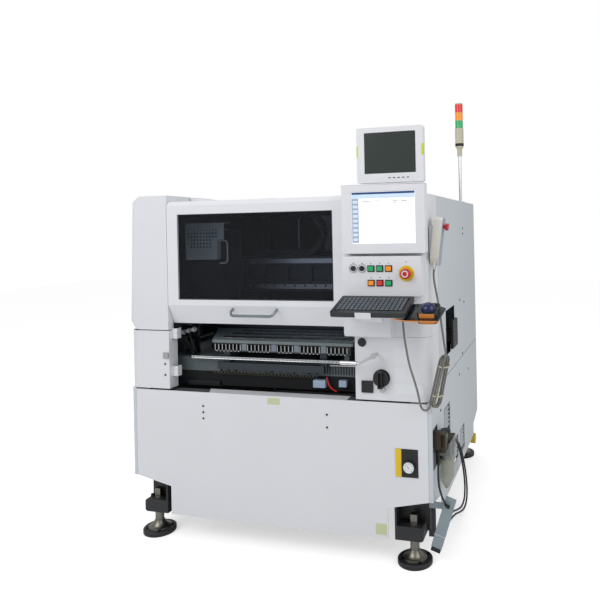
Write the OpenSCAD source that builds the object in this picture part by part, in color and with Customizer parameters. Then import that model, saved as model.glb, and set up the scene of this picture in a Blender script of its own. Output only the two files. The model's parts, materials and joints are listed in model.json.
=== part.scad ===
// Floor-standing surface-mount placement machine: a levelled base, a sheet-metal
// cabinet, a tinted safety cover over the placement gantry, an operator panel and
// a front feeder bank.
//
// Machine axes used inside every module: x from the machine's centre plane (right
// is positive, seen from the operator), y backwards from the front panel's face,
// z up from the floor. at_frame() moves the whole machine to the part's own origin,
// which is the middle of its floor rectangle.

/* [Body] */
// Width over the cabinet's side panels
body_w = 1330; // [1250:5:1450]
// Depth from the front panel's face to the rear cover's face
body_d = 1254; // [1180:2:1400]
// Height of the covers' flat top above the floor
body_h = 1440; // [1400:5:1500]
// Height of the lower front panel's top edge
cabinet_h = 633; // [610:1:645]
// Height of the front panel's bottom edge
panel_bottom = 102; // [95:1:140]
// Thickness of the sheet-metal covers
skin = 3; // [2:0.5:4]
// Gap between neighbouring covers
seam = 4; // [3:0.5:6]
// Outer corner radius of the front covers
corner_r = 45; // [40:1:60]
// Bulge of the left column beyond the cabinet's side
bulge = 22; // [10:1:30]

/* [Levelling feet] */
// Foot pad diameter
pad_d = 138; // [110:1:160]
// Foot pad thickness
pad_t = 20; // [14:1:30]
// Levelling stud diameter
stud_d = 36; // [24:1:44]
// Distance from the cabinet's side to the stud
foot_x = 87; // [80:1:100]
// Distance from the front face to the stud
foot_y = 46; // [42:1:60]

/* [Safety cover] */
// Width of the machine's left column beside the cover
left_side_w = 185; // [175:1:200]
// Width of the operator's side to the right of the cover
operator_w = 333; // [331:1:360]
// Height of the cover's fold above the floor
fold_z = 1000; // [980:1:1010]
// Height of the cover's lower lip
lip_z = 918; // [910:1:930]
// Width of sheet to the left of the window
window_left = 55; // [40:1:70]
// Width of sheet to the right of the window
window_right = 58; // [40:1:70]
// Height of the window
window_h = 356; // [300:1:370]
// Height of the window's lower edge
window_z = 1027; // [1020:1:1040]
// Depth of the cover's top flange, up to the hinge
cover_top_d = 100; // [80:1:120]

/* [Gantry] */
// Height of the linear guides' base on the bed walls
guide_z = 980; // [975:1:990]
// Front face of the gantry beam
beam_y = 560; // [540:1:600]
// Depth of the gantry beam
beam_d = 120; // [100:1:140]
// Height of the gantry beam
beam_h = 174; // [150:1:190]
// Left edge of the parked placement head
head_left = 593; // [560:1:596]
// Width of the placement head
head_w = 207; // [180:1:240]
// Front face of the head guard
head_y = 300; // [280:1:320]
// Pitch of the placement spindles
spindle_pitch = 45; // [35:1:48]

/* [Conveyor] */
// Board transport height
transport_h = 900; // [880:1:910]
// Inner face of the fixed conveyor rail
board_y = 357; // [345:1:365]
// Board width that the rear rail is set to
board_w = 180; // [60:1:180]
// Thickness of the conveyor rails
rail_t = 12; // [8:1:14]
// How far the conveyor's ends stand back from the side covers
conveyor_back = 22; // [19:1:40]

/* [Feeder bank] */
// Top face of the feeder plate
feeder_z = 850; // [830:1:855]
// Pitch of the feeder slots
feeder_pitch = 17; // [14:1:20]
// Width of one feeder slot
feeder_slot = 8; // [5:1:10]

/* [Operator side] */
// Width of the monitor housing
monitor_w = 330; // [300:1:330]
// Height of the monitor housing
monitor_h = 266; // [250:1:280]
// Stand-off of the monitor and panel from the cover's face
monitor_d = 50; // [40:1:60]
// Push-button pitch
button_pitch = 35; // [33:1:40]
// Push-button cap width
button_w = 20; // [16:1:22]
// Push-button travel
button_travel = 4; // [3:0.5:5]
// Keyboard width
keyboard_w = 286; // [230:1:290]
// Keyboard depth
keyboard_d = 152; // [140:1:160]
// Slope of the keyboard tray in degrees
tray_slope = 17; // [10:1:20]

/* [Signal tower] */
// Height of the tower above the covers
tower_h = 545; // [460:5:660]
// Diameter of the lenses
lens_d = 42; // [36:1:50]
// Height of one lens
lens_h = 43; // [35:1:50]

/* [Hidden] */
$fn = 48;

half_w = body_w / 2;
cover_left = half_w - left_side_w;     // cover's edges, from the centre plane
cover_right = half_w - operator_w;
cover_mid = (cover_right - cover_left) / 2;
frame_w = 60;                          // square tube of the base frame
post_w = 80;                           // lower corner posts
post_in = half_w - skin - post_w;      // inner face of the lower posts
bracket_z = 262;                       // underside of the base frame
bracket_top = 152;                     // top of the foot bracket's block
bracket_bottom = 98;
bracket_w = 114;                       // width of the block
cut_in = 165;                          // corner cut-outs of the lower panels
cut_outer_z = 258;
cut_inner_z = 222;
side_bottom = 165;                     // bottom edge of the side panels
shoulder_z = 665;                      // seam between lower and upper side covers
box_top = 888;                         // seam between the front boxes and columns
front_d = 170;                         // depth of the front covers
upper_post = 40;                       // upper posts and headers
upper_x = half_w - 60;                 // inner faces of the upper posts
upper_y = 18;
header_z = body_h - skin - upper_post;
bed_top = 760;
bed_t = 60;
wall_t = 40;                           // bed side walls
wall_x = half_w - 60;                  // inner faces of the bed walls
beam_z = guide_z + 40;                 // beam sits on its carriages
fit = 0.3;                             // clearance between moving faces

louvre_room = 12;                      // space for the slats between panel and rail

// Sloping tray for the keyboard and the trackball, below the operation panel
monitor_x = [half_w - monitor_w, half_w];
tray_x = monitor_x[0] + keyboard_w / 2;
tray_y = -122;
tray_z = 1020;
tray_under = -12;                      // underside of the keyboard's plate, on the slope
mouse_x = keyboard_w / 2 + 4;
mouse_corner = [mouse_x + 122, 84];    // outer edge and front corner of the trackball's tray

// Overall reach of the machine from its centre plane and front face
reach_left = half_w + bulge;
reach_right = tray_x + mouse_corner[0];
reach_front = -tray_y + mouse_corner[1] * cos(tray_slope) + tray_under * sin(tray_slope);
reach_rear = body_d - foot_y + pad_d / 2;
frame_x = (reach_left - reach_right) / 2;
frame_y = (reach_front - reach_rear) / 2;

strap_y = 200;

module at_frame() translate([frame_x, frame_y, 0]) children();

// ---------- shared shapes ----------

module block(x, y, z) translate([x[0], y[0], z[0]]) cube([x[1] - x[0], y[1] - y[0], z[1] - z[0]]);

module mirror_x() {
    children();
    mirror([1, 0, 0]) children();
}

// A plate in the x-z plane from its outline
module plate_xz(y, t) translate([0, y + t, 0]) rotate([90, 0, 0]) linear_extrude(t) children();

// A plate in the y-z plane from its outline
module plate_yz(x, t) translate([x, 0, 0]) rotate([90, 0, 90]) linear_extrude(t) children();

module rounded_square(size, r) {
    translate([r, 0]) square([size[0] - 2 * r, size[1]]);
    translate([0, r]) square([size[0], size[1] - 2 * r]);
    for (x = [r, size[0] - r], y = [r, size[1] - r]) translate([x, y]) circle(r);
}

module rod(p, d, l) translate(p) cylinder(d = d, h = l);
module rod_x(p, d, l) translate(p) rotate([0, 90, 0]) cylinder(d = d, h = l);
module rod_y(p, d, l) translate(p) rotate([-90, 0, 0]) cylinder(d = d, h = l);

// A tube swept along a list of points, one ring of flat sides at each point
function unit(v) = v / norm(v);
function tangent(path, i) =
    unit(path[min(i + 1, len(path) - 1)] - path[max(i - 1, 0)]);
function side_of(t) = unit(cross(t, abs(t[2]) < 0.9 ? [0, 0, 1] : [0, 1, 0]));
function ring(p, t, d, sides) =
    let (u = side_of(t), v = cross(t, u))
    [for (k = [0 : sides - 1]) p + d / 2 * (cos(360 * k / sides) * u + sin(360 * k / sides) * v)];
function tube_faces(rings, sides) = concat(
    [[for (k = [0 : sides - 1]) k]],
    [for (i = [0 : rings - 2], k = [0 : sides - 1])
        let (a = i * sides + k, b = i * sides + (k + 1) % sides)
        [a, a + sides, b + sides, b]],
    [[for (k = [sides - 1 : -1 : 0]) (rings - 1) * sides + k]]);
module tube(path, d, sides) {
    points = [for (i = [0 : len(path) - 1]) each ring(path[i], tangent(path, i), d, sides)];
    polyhedron(points, tube_faces(len(path), sides), convexity = 8);
}

// A smooth curve through hand-chosen points, with n steps to a span
function spline_at(a, b, c, d, t) =
    0.5 * (2 * b + (c - a) * t + (2 * a - 5 * b + 4 * c - d) * t * t
           + (3 * b - a - 3 * c + d) * t * t * t);
function smooth(p, n) = concat(
    [for (i = [0 : len(p) - 2], k = [0 : n - 1])
        spline_at(p[max(i - 1, 0)], p[i], p[i + 1], p[min(i + 2, len(p) - 1)], k / n)],
    [p[len(p) - 1]]);

// ---------- base ----------

module base_frame() color("dimgray") {
    y_back = body_d - skin;
    // lower corner posts
    mirror_x() for (y = [skin, y_back - post_w])
        block([post_in, post_in + post_w], [y, y + post_w], [bracket_z, 640]);
    // bottom rails
    rail_out = half_w - skin - louvre_room;
    mirror_x() block([rail_out - frame_w, rail_out],
                     [skin + post_w - 1, y_back - post_w + 1], [bracket_z, bracket_z + frame_w]);
    for (y = [skin, y_back - frame_w])
        block([-post_in - 1, post_in + 1], [y, y + frame_w], [bracket_z, bracket_z + frame_w]);
    // top rails: the front one is low, the side rails carry the bed
    block([-post_in - 1, post_in + 1], [skin, skin + frame_w], [cabinet_h - skin - 80, cabinet_h - skin]);
    block([-post_in - 1, post_in + 1], [y_back - frame_w, y_back], [580, 640]);
    mirror_x() block([half_w - skin - frame_w, half_w - skin],
                     [skin + post_w, y_back], [620, bed_top - bed_t]);
    // upper posts and headers inside the covers
    mirror_x() {
        block([upper_x, upper_x + upper_post], [upper_y, upper_y + upper_post], [639, header_z + 1]);
        block([upper_x, upper_x + upper_post],
              [y_back - upper_post, y_back], [bed_top - bed_t - 1, header_z + 1]);
        block([upper_x, upper_x + upper_post], [upper_y, y_back], [header_z, header_z + upper_post]);
    }
    // flat strap that hangs behind the right front foot
    block([half_w - 65, half_w - 34], [strap_y, strap_y + 4], [26, bracket_z + 1]);
    // cross headers: the cover's hinge beam and the rear one
    for (y = [cover_top_d + 40, y_back - upper_post])
        block([-upper_x - 1, upper_x + 1], [y, y + upper_post], [header_z, header_z + upper_post]);
}

// Black cast brackets at the four corners, with the levelling studs through them
module foot_brackets() color("black")
    mirror_x() for (side = [0, 1])
        translate([0, side * body_d, 0]) mirror([0, side, 0]) foot_bracket();

module foot_bracket() {
    x = [half_w - foot_x - 70, half_w - foot_x - 70 + bracket_w];
    r = 12;
    difference() {
        union() {
            // block with rounded outer corners
            plate_xz(8, 92) {
                translate([x[0], bracket_bottom]) square([bracket_w - r, bracket_top - bracket_bottom]);
                translate([x[0], bracket_bottom + r]) square([bracket_w, bracket_top - bracket_bottom - 2 * r]);
                for (z = [bracket_bottom + r, bracket_top - r]) translate([x[1] - r, z]) circle(r);
            }
            // walls up to the base frame, behind the stud and on its inner side
            block([x[0], x[1] + 12], [80, 100], [bracket_bottom + r + 1, bracket_z]);
            block([x[0], x[0] + 8], [8, 81], [bracket_top - 1, bracket_z]);
        }
        rod([half_w - foot_x, foot_y, bracket_bottom - 1], stud_d + 0.1, 90);
    }
}

module levelling_feet() color("gray")
    mirror_x() for (y = [foot_y, body_d - foot_y]) translate([half_w - foot_x, y, 0]) foot();

module foot() {
    // pad
    rotate_extrude($fn = 64) {
        square([pad_d / 2 - 4, pad_t]);
        translate([0, 4]) square([pad_d / 2, pad_t - 8]);
        translate([pad_d / 2 - 4, 4]) circle(4);
        translate([pad_d / 2 - 4, pad_t - 4]) circle(4);
        // flared collar that swivels in the pad
        polygon([[0, pad_t - 1], [48, pad_t - 1], [48, pad_t + 4], [36, pad_t + 9],
                 [stud_d / 2 + 8, pad_t + 20], [stud_d / 2 + 2, pad_t + 32], [0, pad_t + 32]]);
        square([stud_d / 2, bracket_top + 1]);
    }
    // the stud's squared end above the bracket
    translate([-stud_end / 2, -stud_end / 2, bracket_top]) cube([stud_end, stud_end, 38]);
}
stud_end = 26;

// ---------- lower cabinet ----------

// Outline of a lower panel whose corners are cut out over the feet
function cut_outline(a0, a1, bottom, top) = [
    [a0, cut_outer_z], [a0 + cut_in, cut_inner_z], [a0 + cut_in, bottom],
    [a1 - cut_in, bottom], [a1 - cut_in, cut_inner_z], [a1, cut_outer_z],
    [a1, top], [a0, top]];

gauge_x = half_w - 101;                // centre of the gauge window
gauge_z = 404;
panel_in = 16;                         // front panel's inset from the sides

module front_panel() color("gainsboro") difference() {
    union() {
        plate_xz(0, skin) polygon(cut_outline(panel_in - half_w, half_w - panel_in, panel_bottom, cabinet_h));
        // top flange with mitred ends
        translate([0, 0, cabinet_h - skin]) linear_extrude(skin)
            polygon([[-half_w + 375, 0], [half_w - 345, 0], [half_w - 345, 60], [-half_w + 345, 60]]);
    }
    // window for the gauge, and cable holes
    block([gauge_x - 36, gauge_x + 36], [-1, skin + 1], [gauge_z - 46, gauge_z + 46]);
    for (z = [523, 549, 575]) rod_y([-320, -1, z], 6, skin + 2);
    for (z = [520, 571]) rod_y([238, -1, z], 6, skin + 2);
}

vents = [[250, 428], [640, 216], [448, 228]];   // lower front corners of the side vents
vent_size = [126, 108];
frl_y = 14;                            // opening round the air unit
frl_z = 372;
frl_size = [93, 158];

// Skin of one lower side with louvred vents; the child outline is cut out of it
module side_panel() {
    plate_yz(half_w - skin, skin) difference() {
        union() {
            polygon(cut_outline(0, body_d - seam, side_bottom, 640));
            // strip behind the front box, up to the upper cover's seam
            translate([front_d + seam, 639])
                square([body_d - 2 * seam - front_d, shoulder_z - 639]);
        }
        for (v = vents) translate(v) square(vent_size);
        children();
    }
    // returned front edge beside the front panel
    block([half_w - panel_in + 1, half_w - 1], [0, skin], [cut_outer_z, 640]);
    // slats that slope up and inwards
    for (v = vents, k = [1 : 5])
        translate([half_w - 1, v[0] - 1, v[1] + k * vent_size[1] / 6]) rotate([0, 30, 0])
            translate([-slat_w, 0, -slat_t / 2]) cube([slat_w, vent_size[0] + 2, slat_t]);
}
slat_w = 10;
slat_t = 1.5;

module side_panel_right() color("silver") side_panel() translate([frl_y, frl_z]) square(frl_size);
module side_panel_left() color("silver") mirror([1, 0, 0]) side_panel();

module rear_cover() color("silver") difference() {
    plate_xz(body_d - skin, skin) difference() {
        polygon(cut_outline(-half_w + skin + 0.5, half_w - skin - 0.5, side_bottom, body_h - skin));
        for (x = [-420, -160, 160, 420], k = [0 : 7])
            translate([x - 70, 900 + 24 * k]) square([140, 8]);
    }
    for (x = [-300, 300]) rod_y([x, body_d - skin - 1, 420], 60, skin + 2);
    // joints round the two service doors
    for (x = [[-door_w - 8, -8], [8, door_w + 8]]) difference() {
        block(x, [body_d - door_groove, body_d + 1], door_z);
        block([x[0] + seam, x[1] - seam], [body_d - skin, body_d + 2], [door_z[0] + seam, door_z[1] - seam]);
    }
}
door_w = 560;
door_z = [290, 840];
door_groove = 1.5;

// ---------- upper covers ----------

// Conveyor openings in the side covers, and the rails' way through them
opening_y = [328, 588];
opening_z = [752, 946];

module upper_side(right) {
    x = right ? half_w - skin : -half_w;
    flange = 17;
    z0 = shoulder_z + seam;
    z1 = body_h - skin;
    y0 = front_d + seam;
    y1 = body_d - skin;
    plate_yz(x, skin) difference() {
        translate([y0, z0]) square([y1 - y0, z1 - z0]);
        // stepped opening: full height in front, shorter behind
        polygon([[opening_y[0], opening_z[0]], [opening_y[0] + 112, opening_z[0]],
                 [opening_y[0] + 112, 784], [opening_y[1], 784], [opening_y[1], 874],
                 [opening_y[1] - 38, 874], [opening_y[1] - 38, opening_z[1]],
                 [opening_y[0], opening_z[1]]]);
    }
    // returned edges
    xf = right ? [half_w - skin - flange, half_w - skin + 1] : [-half_w + skin - 1, -half_w + skin + flange];
    block(xf, [y0, y1], [z1 - skin, z1]);
    for (y = [y0, y1 - skin]) block(xf, [y, y + skin], [bed_top - bed_t, z1]);
}

module upper_side_left() color("gainsboro") upper_side(false);
module upper_side_right() color("silver") upper_side(true);

// Flat top with the raised hinge housing at its front left
module top_cover() color("gainsboro") {
    y0 = front_d + seam;
    block([-half_w, half_w], [y0, body_d], [body_h - skin, body_h]);
    block([-cover_left, half_w - skin], [cover_top_d + 14, y0 + 1], [body_h - skin, body_h]);
    translate([0, 0, body_h - 1]) difference() {
        hull() {
            translate([-half_w + 6, y0, 0]) cube([330, 260, 1]);
            translate([-half_w + 40, y0, column_rise - 1]) cube([150, 140, 1]);
        }
        hull() {
            translate([-half_w + 10, y0 + skin, -1]) cube([322, 252, 1]);
            translate([-half_w + 44, y0 + skin, column_rise - skin - 1]) cube([142, 132, 1]);
        }
    }
    // fixed knuckles of the cover's hinges, with their pins
    for (x = hinge_at) {
        rod_x([x + knuckle_w + fit, hinge_y, hinge_z], knuckle_d, knuckle_w);
        rod_x([x, hinge_y, hinge_z], pin_d, 2 * knuckle_w);
        block([x + knuckle_w + fit, x + 2 * knuckle_w + fit], [hinge_y, cover_top_d + 26],
              [body_h - 1, body_h + skin]);
    }
}

// Plan outline of a front cover: straight to the inner edge, rounded outer corner
module cover_plan(inner, outer, depth, r, grow = 0) {
    translate([inner, grow]) square([outer - inner - r, depth - grow]);
    translate([inner, r]) square([outer - inner - grow, depth - r]);
    intersection() {
        translate([outer - r, r]) circle(r - grow);
        translate([outer - r - 1, 0]) square([r + 1, r + 1]);
    }
}

module cover_shell(inner, outer, r) difference() {
    cover_plan(inner, outer, front_d, r);
    cover_plan(inner - 1, outer, front_d + 1, r, skin);
}

// Tabs that hold a front cover against its upper post
module post_tabs(levels) for (z = levels)
    block([upper_x, upper_x + upper_post - 8], [skin - 1, upper_y], [z, z + skin]);

column_rise = 30;                      // height of the left column's cap over the flat top
module left_column() color("gainsboro") mirror([1, 0, 0]) {
    z = [box_top + seam, box_top + 40, body_h + 4, body_h + column_rise];
    inner = cover_left + 2;
    difference() {
        hull() {
            column_slice(inner, half_w + bulge - 22, z[0]);
            column_slice(inner, half_w + bulge, z[1]);
            column_slice(inner, half_w + 4, z[2]);
            column_slice(inner, half_w - 26, z[3] - 1);
        }
        hull() {
            column_hollow(inner, half_w + bulge - 24, z[0] - 1);
            column_hollow(inner, half_w + bulge - skin, z[1]);
            column_hollow(inner, half_w + 4 - skin, z[2]);
            column_hollow(inner, half_w - 28, z[3] - skin);
        }
        // the gantry passes behind the front skin
        block([inner - 1, half_w - 8], [skin + 34, front_d + 1], [z[0] - 1, body_h + 2]);
    }
    post_tabs([z[0] + 60, 1300]);
}

module column_slice(inner, outer, z) translate([0, 0, z]) linear_extrude(1) {
    square_r = 40;
    translate([inner, 0]) square([outer - inner - square_r, front_d]);
    translate([inner, square_r]) square([outer - inner, front_d - square_r]);
    translate([outer - square_r, square_r]) circle(square_r, $fn = 32);
}

module column_hollow(inner, outer, z) translate([0, 0, z]) linear_extrude(1) {
    square_r = 37;
    translate([inner + skin, skin]) square([outer - inner - skin - square_r, front_d]);
    translate([inner + skin, square_r]) square([outer - inner - skin, front_d - square_r + skin]);
    translate([outer - square_r, square_r + skin]) circle(square_r, $fn = 32);
}

module front_box(inner, outer, r) {
    z = [640, box_top];
    translate([0, 0, z[0]]) linear_extrude(z[1] - z[0]) cover_shell(inner, outer, r);
    // bottom flange on the posts, top flange, and the inner return
    for (h = [z[0], z[1] - skin])
        block([inner, outer - r], [skin - 1, 16], [h, h + skin]);
    block([inner, inner + skin], [skin - 1, 60], z);
    post_tabs([700, 850]);
}

left_box_in = cover_left;
module left_box() color("gainsboro") mirror([1, 0, 0]) {
    front_box(left_box_in, half_w + 12, 40);
    // cover catches beside the feeder bay
    for (z = [690, 852]) {
        block([left_box_in - 26, left_box_in + 1], [20, 23], [z, z + 44]);
        block([left_box_in - 26, left_box_in - 23], [20, 50], [z, z + 44]);
    }
}

right_box_in = half_w - 303;
module right_box() color("gainsboro") difference() {
    union() {
        front_box(right_box_in, half_w, corner_r);
        // bush of the feeder bank's lever
        rod_y([lever_at[0], skin - 1, lever_at[1]], 24, 14);
    }
    rod_y([lever_at[0], -1, lever_at[1]], shaft_d + 0.1, 20);
}

// Upper right cover behind the monitor, closed on top
right_in = cover_right + 2;
module right_column() color("gainsboro") {
    z = [box_top + 1, body_h];
    translate([0, 0, z[0]]) linear_extrude(z[1] - z[0]) cover_shell(right_in, half_w, corner_r);
    translate([0, 0, z[1] - skin]) linear_extrude(skin)
        cover_plan(right_in, half_w, cover_top_d + 12, corner_r);
    block([right_in, right_in + skin], [skin - 1, 50], z);
    post_tabs([z[0] + 60, 1300]);
    // stand of the second screen: foot, two cheeks and the tilt pin
    translate([lcd_x, lcd_y + lcd_pivot, 0]) {
        block([-44, 44], [-20, 30], [body_h, body_h + 4]);
        mirror_x() block([lcd_knuckle / 2 + fit, lcd_knuckle / 2 + 7], [-7, 12], [body_h + 3, lcd_z + 14]);
        rod_x([-lcd_knuckle / 2 - 5, 0, lcd_z], shaft_d, lcd_knuckle + 10);
    }
}

// ---------- inside the machine ----------

module machine_bed() color("darkslategray") {
    y0 = 96;
    y1 = body_d - skin - upper_post - 6;
    mid = (opening_y[0] + opening_y[1]) / 2;
    difference() {
        block([-wall_x - wall_t + 0.5, wall_x + wall_t - 0.5], [y0, y1], [bed_top - bed_t, bed_top]);
        // waste chute and cable wells through the plate
        block([-300, 300], [680, 1000], [bed_top - bed_t - 1, bed_top + 1]);
    }
    // side walls with the conveyor's window
    mirror_x() difference() {
        block([wall_x, wall_x + wall_t - 0.5], [y0 + 20, y1 - 20], [bed_top - 1, guide_z]);
        block([wall_x - 1, wall_x + wall_t], [opening_y[0] - 4, opening_y[1] + 30], [bed_top + 20, 952]);
        block([wall_x - 1, wall_x + wall_t], [680, y1 - 90], [bed_top + 50, 930]);
    }
    // conveyor support rails across the bed
    for (x = [-460, 460]) block([x - 20, x + 20], [board_y - 30, board_y + 260], [bed_top - 1, 800]);
}

// Two linear guides that carry the beam front to back
guide_y = [150, body_d - skin - upper_post - 40];
module y_guides() color("lightgray") mirror_x()
    translate([wall_x + wall_t / 2, 0, guide_z]) rotate([-90, 0, 0])
        translate([0, 0, guide_y[0]]) linear_extrude(guide_y[1] - guide_y[0])
            polygon([[-12, 0], [12, 0], [12, -8], [8, -12], [8, -16], [12, -20], [-12, -20],
                     [-8, -16], [-8, -12], [-12, -8]]);

// Beam on two carriages, with a guide along its top and its foot
module gantry_beam() color("slategray") {
    x1 = wall_x + wall_t;
    difference() {
        block([-wall_x + 12, wall_x - 12], [beam_y, beam_y + beam_d], [beam_z - 16, beam_z - 16 + beam_h]);
        // pockets that lighten the casting's front
        for (k = [-4 : 4])
            block([k * 130 - 55, k * 130 + 55], [beam_y - 1, beam_y + 22], [beam_z + 34, beam_z + 106]);
    }
    for (z = [beam_z - 4, beam_z + 124])
        block([-wall_x + 16, wall_x - 16], [beam_y - 14, beam_y + 1], [z, z + 24]);
    mirror_x() {
        // end brackets and carriages that straddle the guides
        block([wall_x - 13, x1 - 2], [beam_y + 10, beam_y + beam_d - 10], [guide_z + 24, beam_z + 60]);
        difference() {
            block([wall_x + 0.5, x1 - 0.5], [beam_y - 10, beam_y + beam_d + 10],
                  [guide_z + 10, guide_z + 30]);
            block([wall_x + wall_t / 2 - 12.5, wall_x + wall_t / 2 + 12.5],
                  [beam_y - 11, beam_y + beam_d + 11], [guide_z + 9, guide_z + 20.3]);
        }
    }
}

// Cable chain of pivoted links: a straight run, a half turn and a run back
chain_r = 100;
chain_pitch = 36;
chain_x = [-430, -110];
chain_y = beam_y + 30;
chain_low = beam_z - 16 + beam_h + 4;   // underside of the lower run

chain_h = 26;
chain_w = 50;

// Two side plates, set in on every other link, and two cross bars
module chain_link(set_in) {
    for (h = [set_in, chain_w - 4 - set_in]) translate([0, 0, h]) linear_extrude(4) {
        translate([-chain_pitch / 2, -chain_h / 2]) square([chain_pitch, chain_h]);
        for (e = [-1, 1]) translate([e * chain_pitch / 2, 0]) circle(chain_h / 2 - 0.4);
    }
    for (s = [-1, 1]) translate([-8, s * (chain_h / 2 - 1.5) - 1.5, 1]) cube([16, 3, chain_w - 2]);
}

module energy_chain() color("black")
    translate([0, chain_y + chain_w, chain_low + chain_h / 2]) rotate([90, 0, 0]) {
        straight = floor((chain_x[1] - chain_x[0]) / chain_pitch);
        turns = round(PI * chain_r / chain_pitch);
        for (k = [0 : straight - 1], run = [0, 1])
            translate([chain_x[1] - (k + 0.5) * chain_pitch, run * 2 * chain_r, 0]) chain_link(2 * (k % 2));
        for (k = [0 : turns - 1]) translate([chain_x[1], chain_r]) rotate(180 * (k + 0.5) / turns - 90)
            translate([chain_r, 0]) rotate(90) chain_link(2 * ((k + 1) % 2));
        // feet on the beam
        for (x = [chain_x[0], chain_x[1] - 60]) translate([x, -chain_h / 2 - 4, 0]) cube([40, 7, chain_w]);
    }

// Head casting that runs on the beam's two guides
head_x = [-head_left, -head_left + head_w];
head_back = beam_y - 14 - fit;
module placement_head() color("dimgray") {
    x = head_x;
    block([x[0] + 6, x[1] - 6], [head_back - 22, head_back], [beam_z - 8, beam_z + 152]);
    block([x[0] + 14, x[1] - 14], [head_y + 14, head_back - 21], [beam_z + 46, beam_z + 150]);
    // motor block above the spindles and the lower guide block for them
    block([x[0] + 10, x[1] - 10], [head_y + 34, head_back - 60], [beam_z + 149, beam_z + 300]);
    difference() {
        block([x[0] + 10, x[1] - 10], [head_y + 60, head_y + 130], [beam_z - 40, beam_z + 47]);
        for (k = [0 : 3]) rod([spindle_x(k), head_y + 95, beam_z - 41], 20.1, 60);
    }
    // side-looking camera column
    rod([x[1] - 20, head_y + 165, beam_z - 30], 40, 80);
    block([x[0] + 40, x[1] - 40], [head_y + 129, head_back - 21], [beam_z + 6, beam_z + 47]);
}

function spindle_x(k) = head_x[0] + head_w / 2 + (k - 1.5) * spindle_pitch;

// Perforated guard over the head, notched for the wire handle
guard_z = [beam_z + 158, beam_z + 333];
module head_guard() color("whitesmoke") {
    x = head_x;
    notch = 37;
    holes = 16.5;
    plate_xz(head_y, 2) difference() {
        union() {
            translate([x[0], guard_z[0]]) square([head_w - notch, guard_z[1] - guard_z[0]]);
            translate([x[0], guard_z[1] - 80]) square([head_w, 80]);
        }
        for (i = [0 : 9], j = [0 : 5])
            if (i < 8 || j > 2)
                translate([x[0] + 16 + i * holes, guard_z[0] + 60 + j * holes]) circle(4.5, $fn = 16);
    }
    // folded sides that clip round the motor block
    for (s = [x[0], x[1] - notch - 2]) block([s, s + 2], [head_y + 1, head_y + 34], [guard_z[0], guard_z[1] - 82]);
    block([x[0], x[1]], [head_y + 1, head_y + 60], [guard_z[1] - 2, guard_z[1]]);
    block([x[0], x[1]], [head_y + 1, head_y + 36], [beam_z + 300, beam_z + 302]);
    // bent wire handle on the notched side
    wire = [[x[1] - notch - 10, head_y + 1, guard_z[0] + 88], [x[1] + 10, head_y - 3, guard_z[0] + 90],
            [x[1] + 18, head_y - 4, guard_z[0] + 82], [x[1] + 20, head_y - 4, guard_z[0] + 70],
            [x[1] + 20, head_y - 4, guard_z[0] + 10], [x[1] + 18, head_y - 4, guard_z[0] - 8],
            [x[1] + 8, head_y - 4, guard_z[0] - 16], [x[1] - 18, head_y - 2, guard_z[0] - 16],
            [x[1] - 24, head_y + 4, guard_z[0] - 16], [x[1] - 24, head_y + 14 - fit, guard_z[0] - 16]];
    tube(wire, 7, 8);
}

// Four vacuum spindles with stepped nozzles
module spindles() color("silver") for (k = [0 : 3]) translate([spindle_x(k), head_y + 95, 0])
    rotate_extrude($fn = 32)
        polygon([[0, transport_h + 28], [1.5, transport_h + 28], [3, transport_h + 34],
                 [3, transport_h + 48], [8, transport_h + 50], [8, transport_h + 62],
                 [10, transport_h + 64], [10, beam_z + 18], [0, beam_z + 18]]);

// ---------- conveyor ----------

module conveyor_rail(inner_y, dir) {
    x = half_w - conveyor_back;
    translate([0, inner_y, 0]) mirror([0, dir < 0 ? 1 : 0, 0]) {
        block([-x, x], [-rail_t, 0], [transport_h - 52, transport_h + 8]);
        // ledge and belt that carry the board's edge
        block([-x + 8, x - 8], [-1, 5], [transport_h - 12, transport_h - 6]);
        block([-x + 4, x - 4], [-1, 4], [transport_h - 3, transport_h]);
        // belt pulleys
        for (px = [-x + 30, -300, 300, x - 30]) rod_y([px, -1, transport_h - 18], 22, 7);
        // legs down to the cross rails
        for (px = [-460, 460])
            block([px - 18, px + 18], [-rail_t, 0], [800 + (dir > 0 ? 0 : fit), transport_h - 51]);
    }
}

module conveyor_rail_front() color("silver") conveyor_rail(board_y, 1);
module conveyor_rail_rear() color("silver") conveyor_rail(board_y + board_w, -1);

// ---------- feeder bank ----------

bank_x = [-half_w + 212, right_box_in - 22];
bank_y = [36, board_y - rail_t - 14];

comb_x = [bank_x[0] + 170, bank_x[1] - 8];

module feeder_plate() color("lightslategray") {
    difference() {
        // the left edge runs back at a slant beside the air fittings
        translate([0, 0, feeder_z - 12]) linear_extrude(12)
            polygon([[comb_x[0] - 10, bank_y[0]], [bank_x[1], bank_y[0]], [bank_x[1], bank_y[1]],
                     [bank_x[0] + 10, bank_y[1]]]);
        // two rows of locating holes
        for (k = [0 : floor((bank_x[1] - comb_x[0] - 20) / feeder_pitch)], y = [106, 245])
            block([comb_x[0] + 4 + k * feeder_pitch, comb_x[0] + 4 + k * feeder_pitch + feeder_slot],
                  [y, y + 9], [feeder_z - 5, feeder_z + 1]);
    }
    // cheeks down to the bed
    for (x = [comb_x[0] + 10, bank_x[1] - 60])
        block([x, x + 20], [100, bank_y[1] - 20], [bed_top, feeder_z - 11]);
    block([comb_x[0] + 10, bank_x[1] - 40], [280, 300], [bed_top, feeder_z - 11]);
}

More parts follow.
